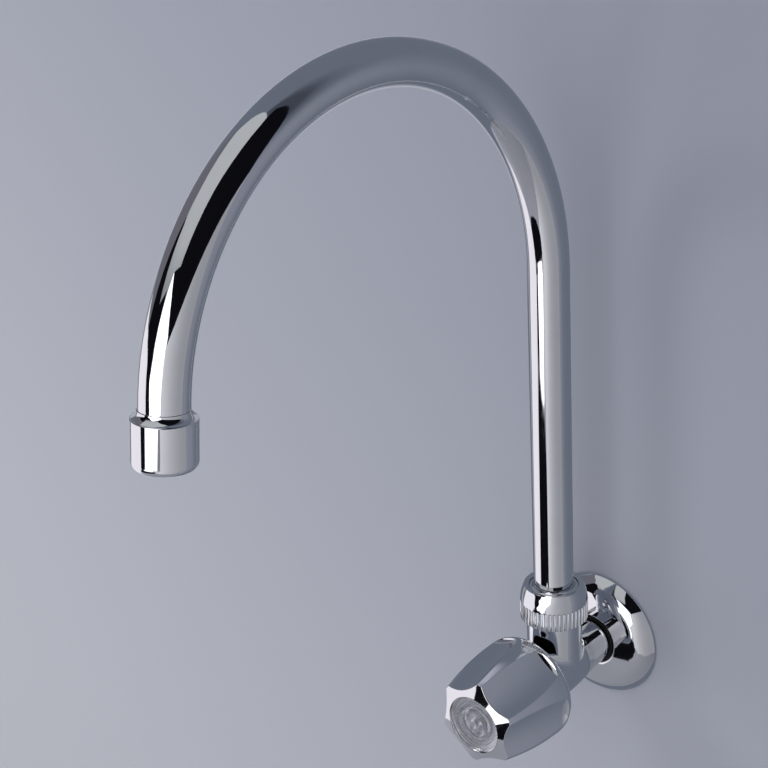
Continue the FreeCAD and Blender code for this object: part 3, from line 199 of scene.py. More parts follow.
class FaucetStage(bpy.types.PropertyGroup):
    """The wall, the floor and the light round the faucet."""

    wall: FloatVectorProperty(
        name="Wall", description="Colour of the wall low down on the left",
        subtype="COLOR", size=3, min=0.0, max=1.0, default=(0.592, 0.616, 0.660),
    )
    # Painted shade: the wall is painted darker high up on the right, where the light falls off.
    wall_far_painted_shade: FloatVectorProperty(
        name="Wall Far Off", description="Colour of the wall high up on the right",
        subtype="COLOR", size=3, min=0.0, max=1.0, default=(0.369, 0.387, 0.460),
    )
    floor: FloatVectorProperty(
        name="Floor", description="Colour of the floor",
        subtype="COLOR", size=3, min=0.0, max=1.0, default=(0.52, 0.53, 0.56),
    )
    floor_height: FloatProperty(
        name="Floor Height", description="Height of the floor under the inlet's axis",
        unit="LENGTH", min=-2.0, max=0.0, default=-0.9,
    )
    sky: FloatVectorProperty(
        name="Room Light", description="Even light from the room",
        subtype="COLOR", size=3, min=0.0, max=1.0, default=(0.50, 0.515, 0.53),
    )
    haze: FloatVectorProperty(
        name="Low Room Light", description="Light from the room nearer the floor",
        subtype="COLOR", size=3, min=0.0, max=1.0, default=(0.26, 0.27, 0.29),
    )
    key_power: FloatProperty(
        name="Key Power", description="Power of the soft lamp on the left",
        unit="POWER", min=0.0, max=100.0, default=2.0,
    )
    focal_length: FloatProperty(
        name="Focal Length", description="The camera's lens in millimetres on a 36 mm sensor",
        min=10.0, max=300.0, default=FOCAL_PIXELS * SENSOR_WIDTH / PICTURE_WIDTH,
    )


# ---------------------------------------------------------------- node helpers


def join(tree, source, target):
    tree.links.new(source, target)


def feed(tree, socket, value):
    """Links a socket to another one, or writes a plain value into it."""
    if hasattr(value, "is_output"):
        tree.links.new(value, socket)
    else:
        socket.default_value = value


def maths(tree, operation, *values):
    """Adds a Math node and returns its value."""
    node = tree.nodes.new("ShaderNodeMath")
    node.operation = operation
    for socket, value in zip(node.inputs, values):
        feed(tree, socket, value)
    return node.outputs["Value"]


def ranged(tree, value, low, high, to_low, to_high):
    """Adds a smooth Map Range node and returns its value."""
    node = tree.nodes.new("ShaderNodeMapRange")
    node.interpolation_type = "SMOOTHSTEP"
    for name, number in zip(
        ("Value", "From Min", "From Max", "To Min", "To Max"), (value, low, high, to_low, to_high)
    ):
        feed(tree, node.inputs[name], number)
    return node.outputs["Result"]


def noise(tree, vector, scale, detail=3.0, roughness=0.5):
    node = tree.nodes.new("ShaderNodeTexNoise")
    feed(tree, node.inputs["Vector"], vector)
    feed(tree, node.inputs["Scale"], scale)
    node.inputs["Detail"].default_value = detail
    node.inputs["Roughness"].default_value = roughness
    return node.outputs["Fac"]


def blended(tree, share, first, second):
    """Mixes two colours by a varying share."""
    node = tree.nodes.new("ShaderNodeMix")
    node.data_type = "RGBA"
    feed(tree, node.inputs["Factor"], share)
    feed(tree, node.inputs["A"], first)
    feed(tree, node.inputs["B"], second)
    return node.outputs["Result"]


def colour(values):
    return (values[0], values[1], values[2], 1.0)


def split(tree, vector):
    """Takes a vector apart into outputs named X, Y and Z."""
    parts = tree.nodes.new("ShaderNodeSeparateXYZ")
    join(tree, vector, parts.inputs["Vector"])
    return parts.outputs


def off_axis(tree, parts):
    """The distance from the Z axis of a place that was split."""
    square_x = maths(tree, "MULTIPLY", parts["X"], parts["X"])
    square_y = maths(tree, "MULTIPLY", parts["Y"], parts["Y"])
    return maths(tree, "SQRT", maths(tree, "ADD", square_x, square_y))


def reach_along(tree, vector, direction):
    """How far a vector reaches along a direction."""
    node = tree.nodes.new("ShaderNodeVectorMath")
    node.operation = "DOT_PRODUCT"
    join(tree, vector, node.inputs[0])
    node.inputs[1].default_value = direction
    return node.outputs["Value"]


def new_group(name, inputs, outputs):
    """Starts a shader node group with named sockets and returns it with its two ends."""
    tree = bpy.data.node_groups.new(name, "ShaderNodeTree")
    for socket, kind, default in inputs:
        made = tree.interface.new_socket(name=socket, in_out="INPUT", socket_type=kind)
        if default is not None:
            made.default_value = default
    for socket, kind in outputs:
        tree.interface.new_socket(name=socket, in_out="OUTPUT", socket_type=kind)
    start = tree.nodes.new("NodeGroupInput")
    end = tree.nodes.new("NodeGroupOutput")
    return tree, start.outputs, end.inputs


# ---------------------------------------------------------------- shared effects


def make_handling_film():
    """Faint wiped-on film: cloudy patches and water spots that dull a polish."""
    tree, given, result = new_group(
        "Handling Film",
        (("Vector", "NodeSocketVector", None), ("Patches", "NodeSocketFloat", 60.0),
         ("Spots", "NodeSocketFloat", 420.0), ("Roughness", "NodeSocketFloat", 0.04),
         ("Amount", "NodeSocketFloat", 0.03)),
        (("Roughness", "NodeSocketFloat"), ("Mask", "NodeSocketFloat")),
    )
    cloud = ranged(tree, noise(tree, given["Vector"], given["Patches"], 4.0, 0.6), 0.42, 0.72, 0.0, 1.0)
    cells = tree.nodes.new("ShaderNodeTexVoronoi")
    cells.feature = "F1"
    join(tree, given["Vector"], cells.inputs["Vector"])
    join(tree, given["Spots"], cells.inputs["Scale"])
    spots = ranged(tree, cells.outputs["Distance"], 0.10, 0.16, 1.0, 0.0)
    rare = ranged(tree, noise(tree, given["Vector"], given["Patches"], 1.0, 0.5), 0.58, 0.64, 0.0, 1.0)
    spotted = maths(tree, "MULTIPLY", spots, rare)
    mask = maths(tree, "MAXIMUM", cloud, maths(tree, "MULTIPLY", spotted, 0.8))
    added = maths(tree, "MULTIPLY", mask, given["Amount"])
    join(tree, maths(tree, "ADD", given["Roughness"], added), result["Roughness"])
    join(tree, mask, result["Mask"])
    return tree


def make_polish_ripple():
    """The slow ripple of a surface that was ground and buffed by hand."""
    tree, given, result = new_group(
        "Polish Ripple",
        (("Vector", "NodeSocketVector", None), ("Slow", "NodeSocketFloat", 45.0),
         ("Fine", "NodeSocketFloat", 260.0), ("Share", "NodeSocketFloat", 0.12)),
        (("Height", "NodeSocketFloat"),),
    )
    slow = noise(tree, given["Vector"], given["Slow"], 1.0, 0.4)
    fine = noise(tree, given["Vector"], given["Fine"], 2.0, 0.5)
    join(tree, maths(tree, "ADD", slow, maths(tree, "MULTIPLY", fine, given["Share"])), result["Height"])
    return tree


def make_turned_rings():
    """Rings left by a lathe, round the Z of the vector that comes in."""
    tree, given, result = new_group(
        "Turned Rings",
        (("Vector", "NodeSocketVector", None), ("Pitch", "NodeSocketFloat", 0.0002),
         ("Drift", "NodeSocketFloat", 0.3)),
        (("Height", "NodeSocketFloat"), ("Mask", "NodeSocketFloat")),
    )
    parts = split(tree, given["Vector"])
    radius = off_axis(tree, parts)
    travel = maths(tree, "ADD", radius, parts["Z"])
    waver = maths(tree, "MULTIPLY", noise(tree, given["Vector"], 150.0, 2.0), given["Drift"])
    turns = maths(tree, "MULTIPLY", maths(tree, "DIVIDE", travel, given["Pitch"]), math.tau)
    wave = maths(tree, "SINE", maths(tree, "ADD", turns, waver))
    band = tree.nodes.new("ShaderNodeCombineXYZ")
    join(tree, radius, band.inputs["X"])
    join(tree, parts["Z"], band.inputs["Y"])
    uneven = noise(tree, band.outputs["Vector"], 2200.0, 2.0, 0.7)
    height = maths(tree, "MULTIPLY_ADD", wave, 0.5, 0.5)
    join(tree, maths(tree, "MULTIPLY", height, uneven), result["Height"])
    join(tree, uneven, result["Mask"])
    return tree


def make_screw_thread():
    """A helical thread round the Z of the vector that comes in, between two places along it."""
    tree, given, result = new_group(
        "Screw Thread",
        (("Vector", "NodeSocketVector", None), ("Pitch", "NodeSocketFloat", 0.0018),
         ("From", "NodeSocketFloat", 0.0), ("To", "NodeSocketFloat", 0.02)),
        (("Height", "NodeSocketFloat"), ("Mask", "NodeSocketFloat")),
    )
    parts = split(tree, given["Vector"])
    angle = maths(tree, "ARCTAN2", parts["Y"], parts["X"])
    turn = maths(tree, "DIVIDE", angle, math.tau)
    climb = maths(tree, "DIVIDE", parts["Z"], given["Pitch"])
    ridge = maths(tree, "PINGPONG", maths(tree, "ADD", climb, turn), 0.5)
    after = maths(tree, "GREATER_THAN", parts["Z"], given["From"])
    before = maths(tree, "LESS_THAN", parts["Z"], given["To"])
    within = maths(tree, "MULTIPLY", after, before)
    join(tree, maths(tree, "MULTIPLY", maths(tree, "MULTIPLY", ridge, 2.0), within), result["Height"])
    join(tree, within, result["Mask"])
    return tree


def make_fine_scratches():
    """Hair-thin wiping scratches in two slanting directions."""
    tree, given, result = new_group(
        "Fine Scratches",
        (("Vector", "NodeSocketVector", None), ("Scale", "NodeSocketFloat", 500.0)),
        (("Mask", "NodeSocketFloat"),),
    )
    marks = []
    for tilt in ((0.4, 0.7, 0.2), (-0.6, 0.1, 1.1)):
        mapping = tree.nodes.new("ShaderNodeMapping")
        mapping.inputs["Rotation"].default_value = tilt
        mapping.inputs["Scale"].default_value = (1.0, 0.03, 0.25)
        join(tree, given["Vector"], mapping.inputs["Vector"])
        lines = noise(tree, mapping.outputs["Vector"], given["Scale"], 3.0, 0.65)
        marks.append(ranged(tree, lines, 0.66, 0.72, 0.0, 1.0))
    join(tree, maths(tree, "MAXIMUM", marks[0], marks[1]), result["Mask"])
    return tree


def make_moulded_grain():
    """Fine grain of a moulded surface, with slow changes of tone."""
    tree, given, result = new_group(
        "Moulded Grain",
        (("Vector", "NodeSocketVector", None), ("Scale", "NodeSocketFloat", 2500.0)),
        (("Height", "NodeSocketFloat"), ("Tone", "NodeSocketFloat")),
    )
    fine = noise(tree, given["Vector"], given["Scale"], 3.0, 0.6)
    slow = noise(tree, given["Vector"], 120.0, 3.0, 0.55)
    join(tree, fine, result["Height"])
    join(tree, maths(tree, "MULTIPLY_ADD", fine, 0.3, maths(tree, "MULTIPLY", slow, 0.7)), result["Tone"])
    return tree


SHARED_EFFECTS = {
    "Handling Film": make_handling_film,
    "Polish Ripple": make_polish_ripple,
    "Turned Rings": make_turned_rings,
    "Screw Thread": make_screw_thread,
    "Fine Scratches": make_fine_scratches,
    "Moulded Grain": make_moulded_grain,
}


def effect(tree, name, vector, **values):
    """Places a shared effect in a material and returns its outputs."""
    group = bpy.data.node_groups.get(name) or SHARED_EFFECTS[name]()
    node = tree.nodes.new("ShaderNodeGroup")
    node.node_tree = group
    feed(tree, node.inputs["Vector"], vector)
    for socket, value in values.items():
        feed(tree, node.inputs[socket], value)
    return node.outputs


# ---------------------------------------------------------------- materials


class Finish:
    """A material under construction: its tree, its shader and where its vectors come from."""

    def __init__(self, name):
        self.material = bpy.data.materials.new(name)
        self.material.use_nodes = True
        self.tree = self.material.node_tree
        self.shader = self.tree.nodes["Principled BSDF"]
        self.place = self.tree.nodes.new("ShaderNodeTexCoord").outputs["Object"]

    def put(self, **values):
        """Writes plain values into the shader's own sockets."""
        for name, value in values.items():
            self.shader.inputs[name.replace("_", " ")].default_value = value

    def drive(self, name, value):
        join(self.tree, value, self.shader.inputs[name])

    def driver(self, name):
        """What drives one of the shader's sockets so far."""
        return self.shader.inputs[name].links[0].from_socket

    def round_axis(self, centre, direction):
        """The place measured from a centre, with its Z along a direction."""
        away = self.tree.nodes.new("ShaderNodeVectorMath")
        away.operation = "SUBTRACT"
        join(self.tree, self.place, away.inputs[0])
        away.inputs[1].default_value = centre
        turned = self.tree.nodes.new("ShaderNodeVectorRotate")
        turned.rotation_type = "EULER_XYZ"
        join(self.tree, away.outputs["Vector"], turned.inputs["Vector"])
        to_axis = Vector(direction).rotation_difference(Vector((0, 0, 1)))
        turned.inputs["Rotation"].default_value = to_axis.to_euler("XYZ")
        return turned.outputs["Vector"]

    def relief(self, height, depth, under=None):
        """Turns a height into a bump of a real depth, over another bump."""
        bump = self.tree.nodes.new("ShaderNodeBump")
        bump.inputs["Strength"].default_value = 1.0
        bump.inputs["Distance"].default_value = depth
        join(self.tree, height, bump.inputs["Height"])
        if under is not None:
            join(self.tree, under, bump.inputs["Normal"])
        return bump.outputs["Normal"]


def plated(name, ripple, slow=45.0, film=0.03, axis=None, pitch=0.0004, ring_depth=0.0):
    """Bright chrome plate over a polished casting, a drawn tube or a turned part."""
    look = bpy.context.scene.faucet_finish
    finish = Finish(name)
    tree = finish.tree
    finish.put(Metallic=1.0)
    handled = effect(
        tree, "Handling Film", finish.place, Patches=55.0, Roughness=look.chrome_roughness, Amount=film
    )
    scratched = effect(tree, "Fine Scratches", finish.place, Scale=420.0)["Mask"]
    roughness = maths(tree, "MULTIPLY_ADD", scratched, 0.035, handled["Roughness"])
    finish.drive("Roughness", roughness)
    dull = tuple(bright * left for bright, left in zip(look.chrome, (0.955, 0.95, 0.94)))
    share = maths(tree, "MULTIPLY", handled["Mask"], 0.6)
    finish.drive("Base Color", blended(tree, share, colour(look.chrome), colour(dull)))
    height = effect(tree, "Polish Ripple", finish.place, Slow=slow)["Height"]
    normal = finish.relief(height, ripple)
    if axis is not None:
        rings = effect(tree, "Turned Rings", finish.round_axis(*axis), Pitch=pitch)["Height"]
        normal = finish.relief(rings, ring_depth, normal)
    finish.drive("Normal", normal)
    return finish


def turned_metal(name, base, roughness, axis, pitch=0.00022, depth=0.000004, thread=None, tarnish=0.25):
    """A turned metal part with its lathe rings and a light tarnish, and a thread if it has one.

    A thread is its pitch, where it starts and ends along the axis, and its depth."""
    finish = Finish(name)
    tree = finish.tree
    finish.put(Metallic=1.0)
    around = finish.round_axis(*axis)
    rings = effect(tree, "Turned Rings", around, Pitch=pitch)
    handled = effect(
        tree, "Handling Film", finish.place, Patches=140.0, Spots=900.0, Roughness=roughness, Amount=0.16
    )
    finish.drive("Roughness", maths(tree, "MULTIPLY_ADD", rings["Mask"], 0.10, handled["Roughness"]))
    dull = (base[0] * 0.62, base[1] * 0.52, base[2] * 0.42)
    share = maths(tree, "MULTIPLY", handled["Mask"], tarnish)
    finish.drive("Base Color", blended(tree, share, colour(base), colour(dull)))
    normal = finish.relief(rings["Height"], depth)
    if thread is not None:
        pitch_of_thread, start, end, thread_depth = thread
        ridge = effect(tree, "Screw Thread", around, Pitch=pitch_of_thread, From=start, To=end)["Height"]
        normal = finish.relief(ridge, thread_depth, normal)
    finish.drive("Normal", normal)
    return finish


def moulded(name, base, roughness, scale=2500.0, depth=0.000008, contrast=0.16):
    """Rubber, plastic or fibre with its grain and slow changes of tone."""
    finish = Finish(name)
    tree = finish.tree
    grain = effect(tree, "Moulded Grain", finish.place, Scale=scale)
    light = tuple(min(1.0, c * (1.0 + contrast)) for c in base)
    deep = tuple(c * (1.0 - contrast) for c in base)
    finish.drive("Base Color", blended(tree, grain["Tone"], colour(deep), colour(light)))
    handled = effect(tree, "Handling Film", finish.place, Patches=110.0, Roughness=roughness, Amount=0.10)
    finish.drive("Roughness", handled["Roughness"])
    finish.drive("Normal", finish.relief(grain["Height"], depth))
    return finish


def dress(finish, *nodes):
    """Gives the named CAD nodes this finish in all their material slots."""
    for name in nodes:
        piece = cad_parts[name]
        if not piece.material_slots:
            raise RuntimeError("The node " + name + " has no material slot")
        for slot in piece.material_slots:
            slot.material = finish.material


HUB_AXIS = (RISER_PLACE, (0.0, -1.0, 0.0))
RISER_AXIS = (RISER_PLACE, (0.0, 0.0, 1.0))
OUTLET_AXIS = (OUTLET_PLACE, OUTLET_DIRECTION)


class FAUCET_OT_cast_body(bpy.types.Operator):
    """Chrome on the cast body"""

    bl_idname = "faucet.cast_body"
    bl_label = "Cast Body"

    def execute(self, context):
        look = context.scene.faucet_finish
        dress(plated("cast_chrome", look.cast_ripple, slow=38.0, film=0.035), "valve_body")
        return {"FINISHED"}


class FAUCET_OT_wall_flange(bpy.types.Operator):
    """Chrome on the pressed wall flange"""

    bl_idname = "faucet.wall_flange"
    bl_label = "Wall Flange"

    def execute(self, context):
        look = context.scene.faucet_finish
        dress(plated("flange_chrome", look.cast_ripple * 0.8, slow=55.0, film=0.03), "wall_flange")
        return {"FINISHED"}


class FAUCET_OT_union_nut(bpy.types.Operator):
    """Chrome on the knurled union nut"""

    bl_idname = "faucet.union_nut"
    bl_label = "Union Nut"

    def execute(self, context):
        look = context.scene.faucet_finish
        finish = plated(
            "nut_chrome", look.drawn_ripple, slow=70.0, film=0.05,
            axis=RISER_AXIS, pitch=0.0006, ring_depth=0.0000025,
        )
        dress(finish, "union_nut")
        return {"FINISHED"}


class FAUCET_OT_spout_tube(bpy.types.Operator):
    """Chrome on the bent spout"""

    bl_idname = "faucet.spout_tube"
    bl_label = "Spout Tube"

    def execute(self, context):
        look = context.scene.faucet_finish
        dress(plated("spout_chrome", look.drawn_ripple, slow=30.0, film=0.03), "spout_tube")
        return {"FINISHED"}


class FAUCET_OT_collars(bpy.types.Operator):
    """Chrome on the turned collars at both ends of the spout and on the aerator's sleeve"""

    bl_idname = "faucet.collars"
    bl_label = "Collars and Aerator Sleeve"

    def execute(self, context):
        look = context.scene.faucet_finish
        foot = plated(
            "foot_chrome", look.drawn_ripple, film=0.03,
            axis=RISER_AXIS, pitch=0.0005, ring_depth=0.0000012,
        )
        dress(foot, "spout_foot")
        sleeve = plated(
            "sleeve_chrome", look.drawn_ripple, film=0.035,
            axis=OUTLET_AXIS, pitch=0.0007, ring_depth=0.0000012,
        )
        dress(sleeve, "outlet_nipple", "aerator_housing")
        return {"FINISHED"}


# The handle's hollow is a cone: a place's radius, and this taper times its distance from the riser,
# add up to a value between these two at its wall. It ends between these depths behind the front.
HOLLOW_TAPER = 0.0936
HOLLOW_WALL = (0.0209, 0.0213)
HOLLOW_END = (0.0093, 0.0088)
# The dark colour that the hollow is painted, and how much rougher it is made than the plating.
HOLLOW_DARK_COLOUR = (0.085, 0.085, 0.09)
HOLLOW_ROUGHNESS = 0.55


class FAUCET_OT_handle(bpy.types.Operator):
    """Chrome on the fluted handle, with its hollow painted dark and rough"""

    bl_idname = "faucet.handle"
    bl_label = "Handle"

    def execute(self, context):
        look = context.scene.faucet_finish
        finish = plated("handle_chrome", look.cast_ripple * 0.4, slow=40.0, film=0.035)
        tree = finish.tree
        parts = split(tree, finish.round_axis(*HUB_AXIS))
        widened = maths(tree, "MULTIPLY_ADD", parts["Z"], HOLLOW_TAPER, off_axis(tree, parts))
        within = ranged(tree, widened, *HOLLOW_WALL, 1.0, 0.0)
        front = RISER_PLACE[1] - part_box("handle_shell")[0][1]
        ends = [front - depth for depth in HOLLOW_END]
        behind = ranged(tree, parts["Z"], *ends, 1.0, 0.0)
        # The hollow inside the handle is painted this dark colour and made rougher.
        darkened = maths(tree, "MULTIPLY", within, behind)
        metal = blended(tree, darkened, finish.driver("Base Color"), colour(HOLLOW_DARK_COLOUR))
        finish.drive("Base Color", metal)
        roughness = maths(tree, "MULTIPLY_ADD", darkened, HOLLOW_ROUGHNESS, finish.driver("Roughness"))
        finish.drive("Roughness", roughness)
        dress(finish, "handle_shell")
        return {"FINISHED"}


class FAUCET_OT_headwork(bpy.types.Operator):
    """Brass on the turned headwork, the seat and the stem"""

    bl_idname = "faucet.headwork"
    bl_label = "Brass Headwork"

    def execute(self, context):
        look = context.scene.faucet_finish
        base = tuple(look.brass)
        turned = turned_metal("turned_brass", base, 0.22, HUB_AXIS)
        dress(turned, "valve_seat", "gland_follower", "gland_nut", "jumper")
        bonnet = turned_metal("bonnet_brass", base, 0.24, HUB_AXIS, pitch=0.0003, depth=0.000006)
        dress(bonnet, "bonnet")
        low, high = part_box("spindle")
        stem_end = -(low[1] + high[1]) / 2 + RISER_PLACE[1]
        thread = (0.0025, -0.02, stem_end, 0.0007)
        spindle = turned_metal("spindle_brass", base, 0.18, HUB_AXIS, thread=thread, tarnish=0.15)
        dress(spindle, "spindle")
        return {"FINISHED"}


class FAUCET_OT_screws(bpy.types.Operator):
    """Stainless steel on the two screws and the aerator's wire screen"""

    bl_idname = "faucet.screws"
    bl_label = "Screws and Screen"

    def execute(self, context):
        base = tuple(context.scene.faucet_finish.steel)
        screw = turned_metal(
            "screw_steel", base, 0.20, HUB_AXIS, pitch=0.00025, depth=0.000005, tarnish=0.12
        )
        dress(screw, "washer_screw", "handle_screw")
        wire = turned_metal(
            "screen_steel", base, 0.28, OUTLET_AXIS, pitch=0.0003, depth=0.000004, tarnish=0.35
        )
        dress(wire, "aerator_mesh")
        return {"FINISHED"}


class FAUCET_OT_seals(bpy.types.Operator):
    """Rubber rings and washers, the fibre gasket and the gland packing"""

    bl_idname = "faucet.seals"
    bl_label = "Seals"

    def execute(self, context):
        look = context.scene.faucet_finish
        rubber = moulded("seal_rubber", look.rubber, 0.42, scale=3000.0, depth=0.00001, contrast=0.25)
        rubber.put(Specular_IOR_Level=0.25)
        dress(rubber, "flange_grip_ring", "spout_o_rings", "aerator_washer", "seat_washer")
        fibre = moulded("gasket_fibre", look.fibre, 0.75, scale=1400.0, depth=0.00005, contrast=0.35)
        dress(fibre, "bonnet_gasket")
        packing = moulded(
            "gland_packing_yarn", (0.10, 0.10, 0.105), 0.55, scale=900.0, depth=0.00009, contrast=0.45
        )
        dress(packing, "gland_packing")
        return {"FINISHED"}


class FAUCET_OT_plastics(bpy.types.Operator):
    """White bearing rings and diffuser, grey aerator cup and grid"""

    bl_idname = "faucet.plastics"
    bl_label = "Plastics"

    def execute(self, context):
        look = context.scene.faucet_finish
        white = moulded(
            "bearing_white", look.white_plastic, 0.34, scale=2600.0, depth=0.000008, contrast=0.05
        )
        white.put(Subsurface_Weight=0.08, Subsurface_Scale=0.001)
        dress(white, "thrust_washer", "slip_ring", "aerator_diffuser")
        grey = moulded(
            "aerator_grey", look.grey_plastic, 0.36, scale=2300.0, depth=0.000012, contrast=0.08
        )
        dress(grey, "aerator_cartridge", "aerator_grid")
        return {"FINISHED"}


# The foil under the button: the directions and the spacing of its ribs, the spacing of its rings, the
# depth of that stamping, and the radii between which its darker band, a painted ring of shade, sets in
# and fades out.
FOIL_RIB_DIRECTIONS = ((1.0, 0.30, 0.0), (0.25, 1.0, 0.0))
FOIL_RIB_SPACING = 0.00115
FOIL_RING_SPACING = 0.0019
FOIL_DEPTH = 0.000005
FOIL_SHADE_BAND_START = (0.0061, 0.0064)
FOIL_SHADE_BAND_END = (0.0070, 0.0073)


class FAUCET_OT_index_disc(bpy.types.Operator):
    """Bright stamped foil that lies under the clear button, painted lighter on the crests of its stamping
    and darker in its hollows and in a ring: painted highlight and painted shade
    """

    bl_idname = "faucet.index_disc"
    bl_label = "Index Disc"

    def execute(self, context):
        finish = Finish("index_foil")
        tree = finish.tree
        finish.put(Metallic=1.0)
        around = finish.round_axis(*HUB_AXIS)
        radius = off_axis(tree, split(tree, around))
        ribs = []
        for direction in FOIL_RIB_DIRECTIONS:
            across = reach_along(tree, around, direction)
            turns = maths(tree, "MULTIPLY", across, math.tau / FOIL_RIB_SPACING)
            ribs.append(maths(tree, "SINE", turns))
        stamped = maths(tree, "MULTIPLY", ribs[0], ribs[1])
        waves = maths(tree, "SINE", maths(tree, "MULTIPLY", radius, math.tau / FOIL_RING_SPACING))
        height = maths(tree, "MULTIPLY_ADD", waves, 0.6, stamped)
        finish.drive("Normal", finish.relief(height, FOIL_DEPTH))
        # The stamping is painted lighter on its crests and darker in its hollows: painted highlight and
        # painted shade.
        tone = ranged(tree, height, -1.1, 1.1, 0.0, 1.0)
        # A band painted darker round the ring: painted shade.
        started = ranged(tree, radius, *FOIL_SHADE_BAND_START, 0.0, 1.0)
        ring = maths(tree, "MULTIPLY", started, ranged(tree, radius, *FOIL_SHADE_BAND_END, 1.0, 0.0))
        stamp = blended(tree, tone, (0.62, 0.63, 0.66, 1.0), (0.97, 0.97, 0.99, 1.0))
        deeper = blended(tree, tone, (0.42, 0.43, 0.46, 1.0), (0.66, 0.67, 0.70, 1.0))
        finish.drive("Base Color", blended(tree, ring, stamp, deeper))
        handled = effect(tree, "Handling Film", finish.place, Roughness=0.34, Amount=0.08)
        finish.drive("Roughness", handled["Roughness"])
        dress(finish, "index_disc")
        return {"FINISHED"}


# The radius of the clear button's edge, and how far the ground of its rays lies in front of its back.
BUTTON_EDGE = 0.0004
BUTTON_GROUND = 0.0002


def button_outline(radius, depth, sizes):
    """The button's section from the middle of its face to the middle of its back."""
    ring = radius * sizes.ring_share
    dip = sizes.ring_depth
    crown = sizes.crown
    edge = BUTTON_EDGE
    # A fine ring round the middle, a flat field and the round groove, in shares of the groove's radius.
    face = (
        (0.0, 0.0), (0.25, 0.0), (0.27, dip * 0.4), (0.30, dip * 0.4), (0.32, 0.0),
        (0.80, 0.00002), (0.90, 0.00005), (0.95, dip), (1.08, dip * 1.05), (1.14, dip * 0.25),
    )
    points = [(ring * share, back) for share, back in face]
    groove_end, groove_back = points[-1]
    for step in range(1, 8):
        share = step / 8
        reach = groove_end + (radius - edge - groove_end) * share
        points.append((reach, groove_back + (crown - groove_back) * share * share))
    for step in range(5):
        turn = math.radians(90 * step / 4)
        points.append((radius - edge + edge * math.sin(turn), crown + edge * (1 - math.cos(turn))))
    ground = depth - BUTTON_GROUND
    points += [(radius, depth * 0.75), (radius - 0.00015, ground), (radius - 0.0006, ground)]
    return points


class FAUCET_OT_index_button(bpy.types.Operator):
    """Clear moulded button with a ringed face and rays on its underside"""

    bl_idname = "faucet.index_button"
    bl_label = "Index Button"

    def execute(self, context):
        sizes = context.scene.faucet_button
        low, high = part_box("index_button")
        radius = (high[0] - low[0]) / 2
        middle_x = (high[0] + low[0]) / 2
        middle_z = (high[2] + low[2]) / 2
        front = low[1]
        depth = high[1] - low[1]
        outline = button_outline(radius, depth, sizes)
        steps = sizes.flutes * 2
        mesh = bmesh.new()
        rows = []

        def placed(reach, back, turn):
            return (middle_x + reach * math.cos(turn), front + back, middle_z + reach * math.sin(turn))

        turns = [math.tau * i / steps for i in range(steps)]
        ground = depth - BUTTON_GROUND
        for reach, back in outline[1:]:
            rows.append([mesh.verts.new(placed(reach, back, turn)) for turn in turns])
        for share in (0.85, 0.6, 0.35, 0.12):
            row = []
            for i, turn in enumerate(turns):
                lift = sizes.flute_depth * (i % 2)
                row.append(mesh.verts.new(placed(radius * share, ground - lift, turn)))
            rows.append(row)
        face_middle = mesh.verts.new(placed(0.0, 0.0, 0.0))
        back_middle = mesh.verts.new(placed(0.0, ground, 0.0))
        for i in range(steps):
            j = (i + 1) % steps
            mesh.faces.new((face_middle, rows[0][i], rows[0][j]))
            for inner, outer in zip(rows, rows[1:]):
                mesh.faces.new((inner[i], outer[i], outer[j], inner[j]))
            mesh.faces.new((rows[-1][i], back_middle, rows[-1][j]))
        bmesh.ops.recalc_face_normals(mesh, faces=mesh.faces)
        data = bpy.data.meshes.new("clear_button")
        mesh.to_mesh(data)
        mesh.free()
        data.polygons.foreach_set("use_smooth", [True] * len(data.polygons))
        piece = bpy.data.objects.new("clear_button", data)
        context.scene.collection.objects.link(piece)

        finish = Finish("button_acrylic")
        tree = finish.tree
        finish.put(Transmission_Weight=1.0, Metallic=0.0, IOR=1.49, Base_Color=(0.96, 0.97, 0.99, 1.0))
        handled = effect(tree, "Handling Film", finish.place, Patches=180.0, Roughness=0.03, Amount=0.07)
        scratched = effect(tree, "Fine Scratches", finish.place, Scale=700.0)["Mask"]
        finish.drive("Roughness", maths(tree, "MULTIPLY_ADD", scratched, 0.08, handled["Roughness"]))
        ripple = effect(tree, "Polish Ripple", finish.place, Slow=120.0)["Height"]
        finish.drive("Normal", finish.relief(ripple, 0.00002))
        data.materials.append(finish.material)

        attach(piece, "handle")
        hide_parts("index_button")
        return {"FINISHED"}


# ---------------------------------------------------------------- stage


def towards(bearing, height):
    """The direction of a compass bearing and a height, both in degrees."""
    turn, rise = math.radians(bearing), math.radians(height)
    return Vector((math.sin(turn) * math.cos(rise), -math.cos(turn) * math.cos(rise), math.sin(rise)))


def sheet_object(name, corners):
    data = bpy.data.meshes.new(name)
    data.from_pydata([tuple(c) for c in corners], [], [tuple(range(len(corners)))])
    piece = bpy.data.objects.new(name, data)
    bpy.context.scene.collection.objects.link(piece)
    return piece


def wall_sheet(name, place_y, settings):
    """A sheet as large as the wall, at this place along Y."""
    low = settings.floor_height
    corners = ((-ROOM, place_y, low), (ROOM, place_y, low), (ROOM, place_y, ROOM), (-ROOM, place_y, ROOM))
    return sheet_object(name, corners)


def one_sided(finish):
    """Lets light and sight through a backdrop from behind."""
    tree = finish.tree
    clear = tree.nodes.new("ShaderNodeBsdfTransparent")
    either = tree.nodes.new("ShaderNodeMixShader")
    behind = tree.nodes.new("ShaderNodeNewGeometry").outputs["Backfacing"]
    join(tree, behind, either.inputs["Fac"])
    join(tree, finish.shader.outputs["BSDF"], either.inputs[1])
    join(tree, clear.outputs["BSDF"], either.inputs[2])
    join(tree, either.outputs["Shader"], tree.nodes["Material Output"].inputs["Surface"])


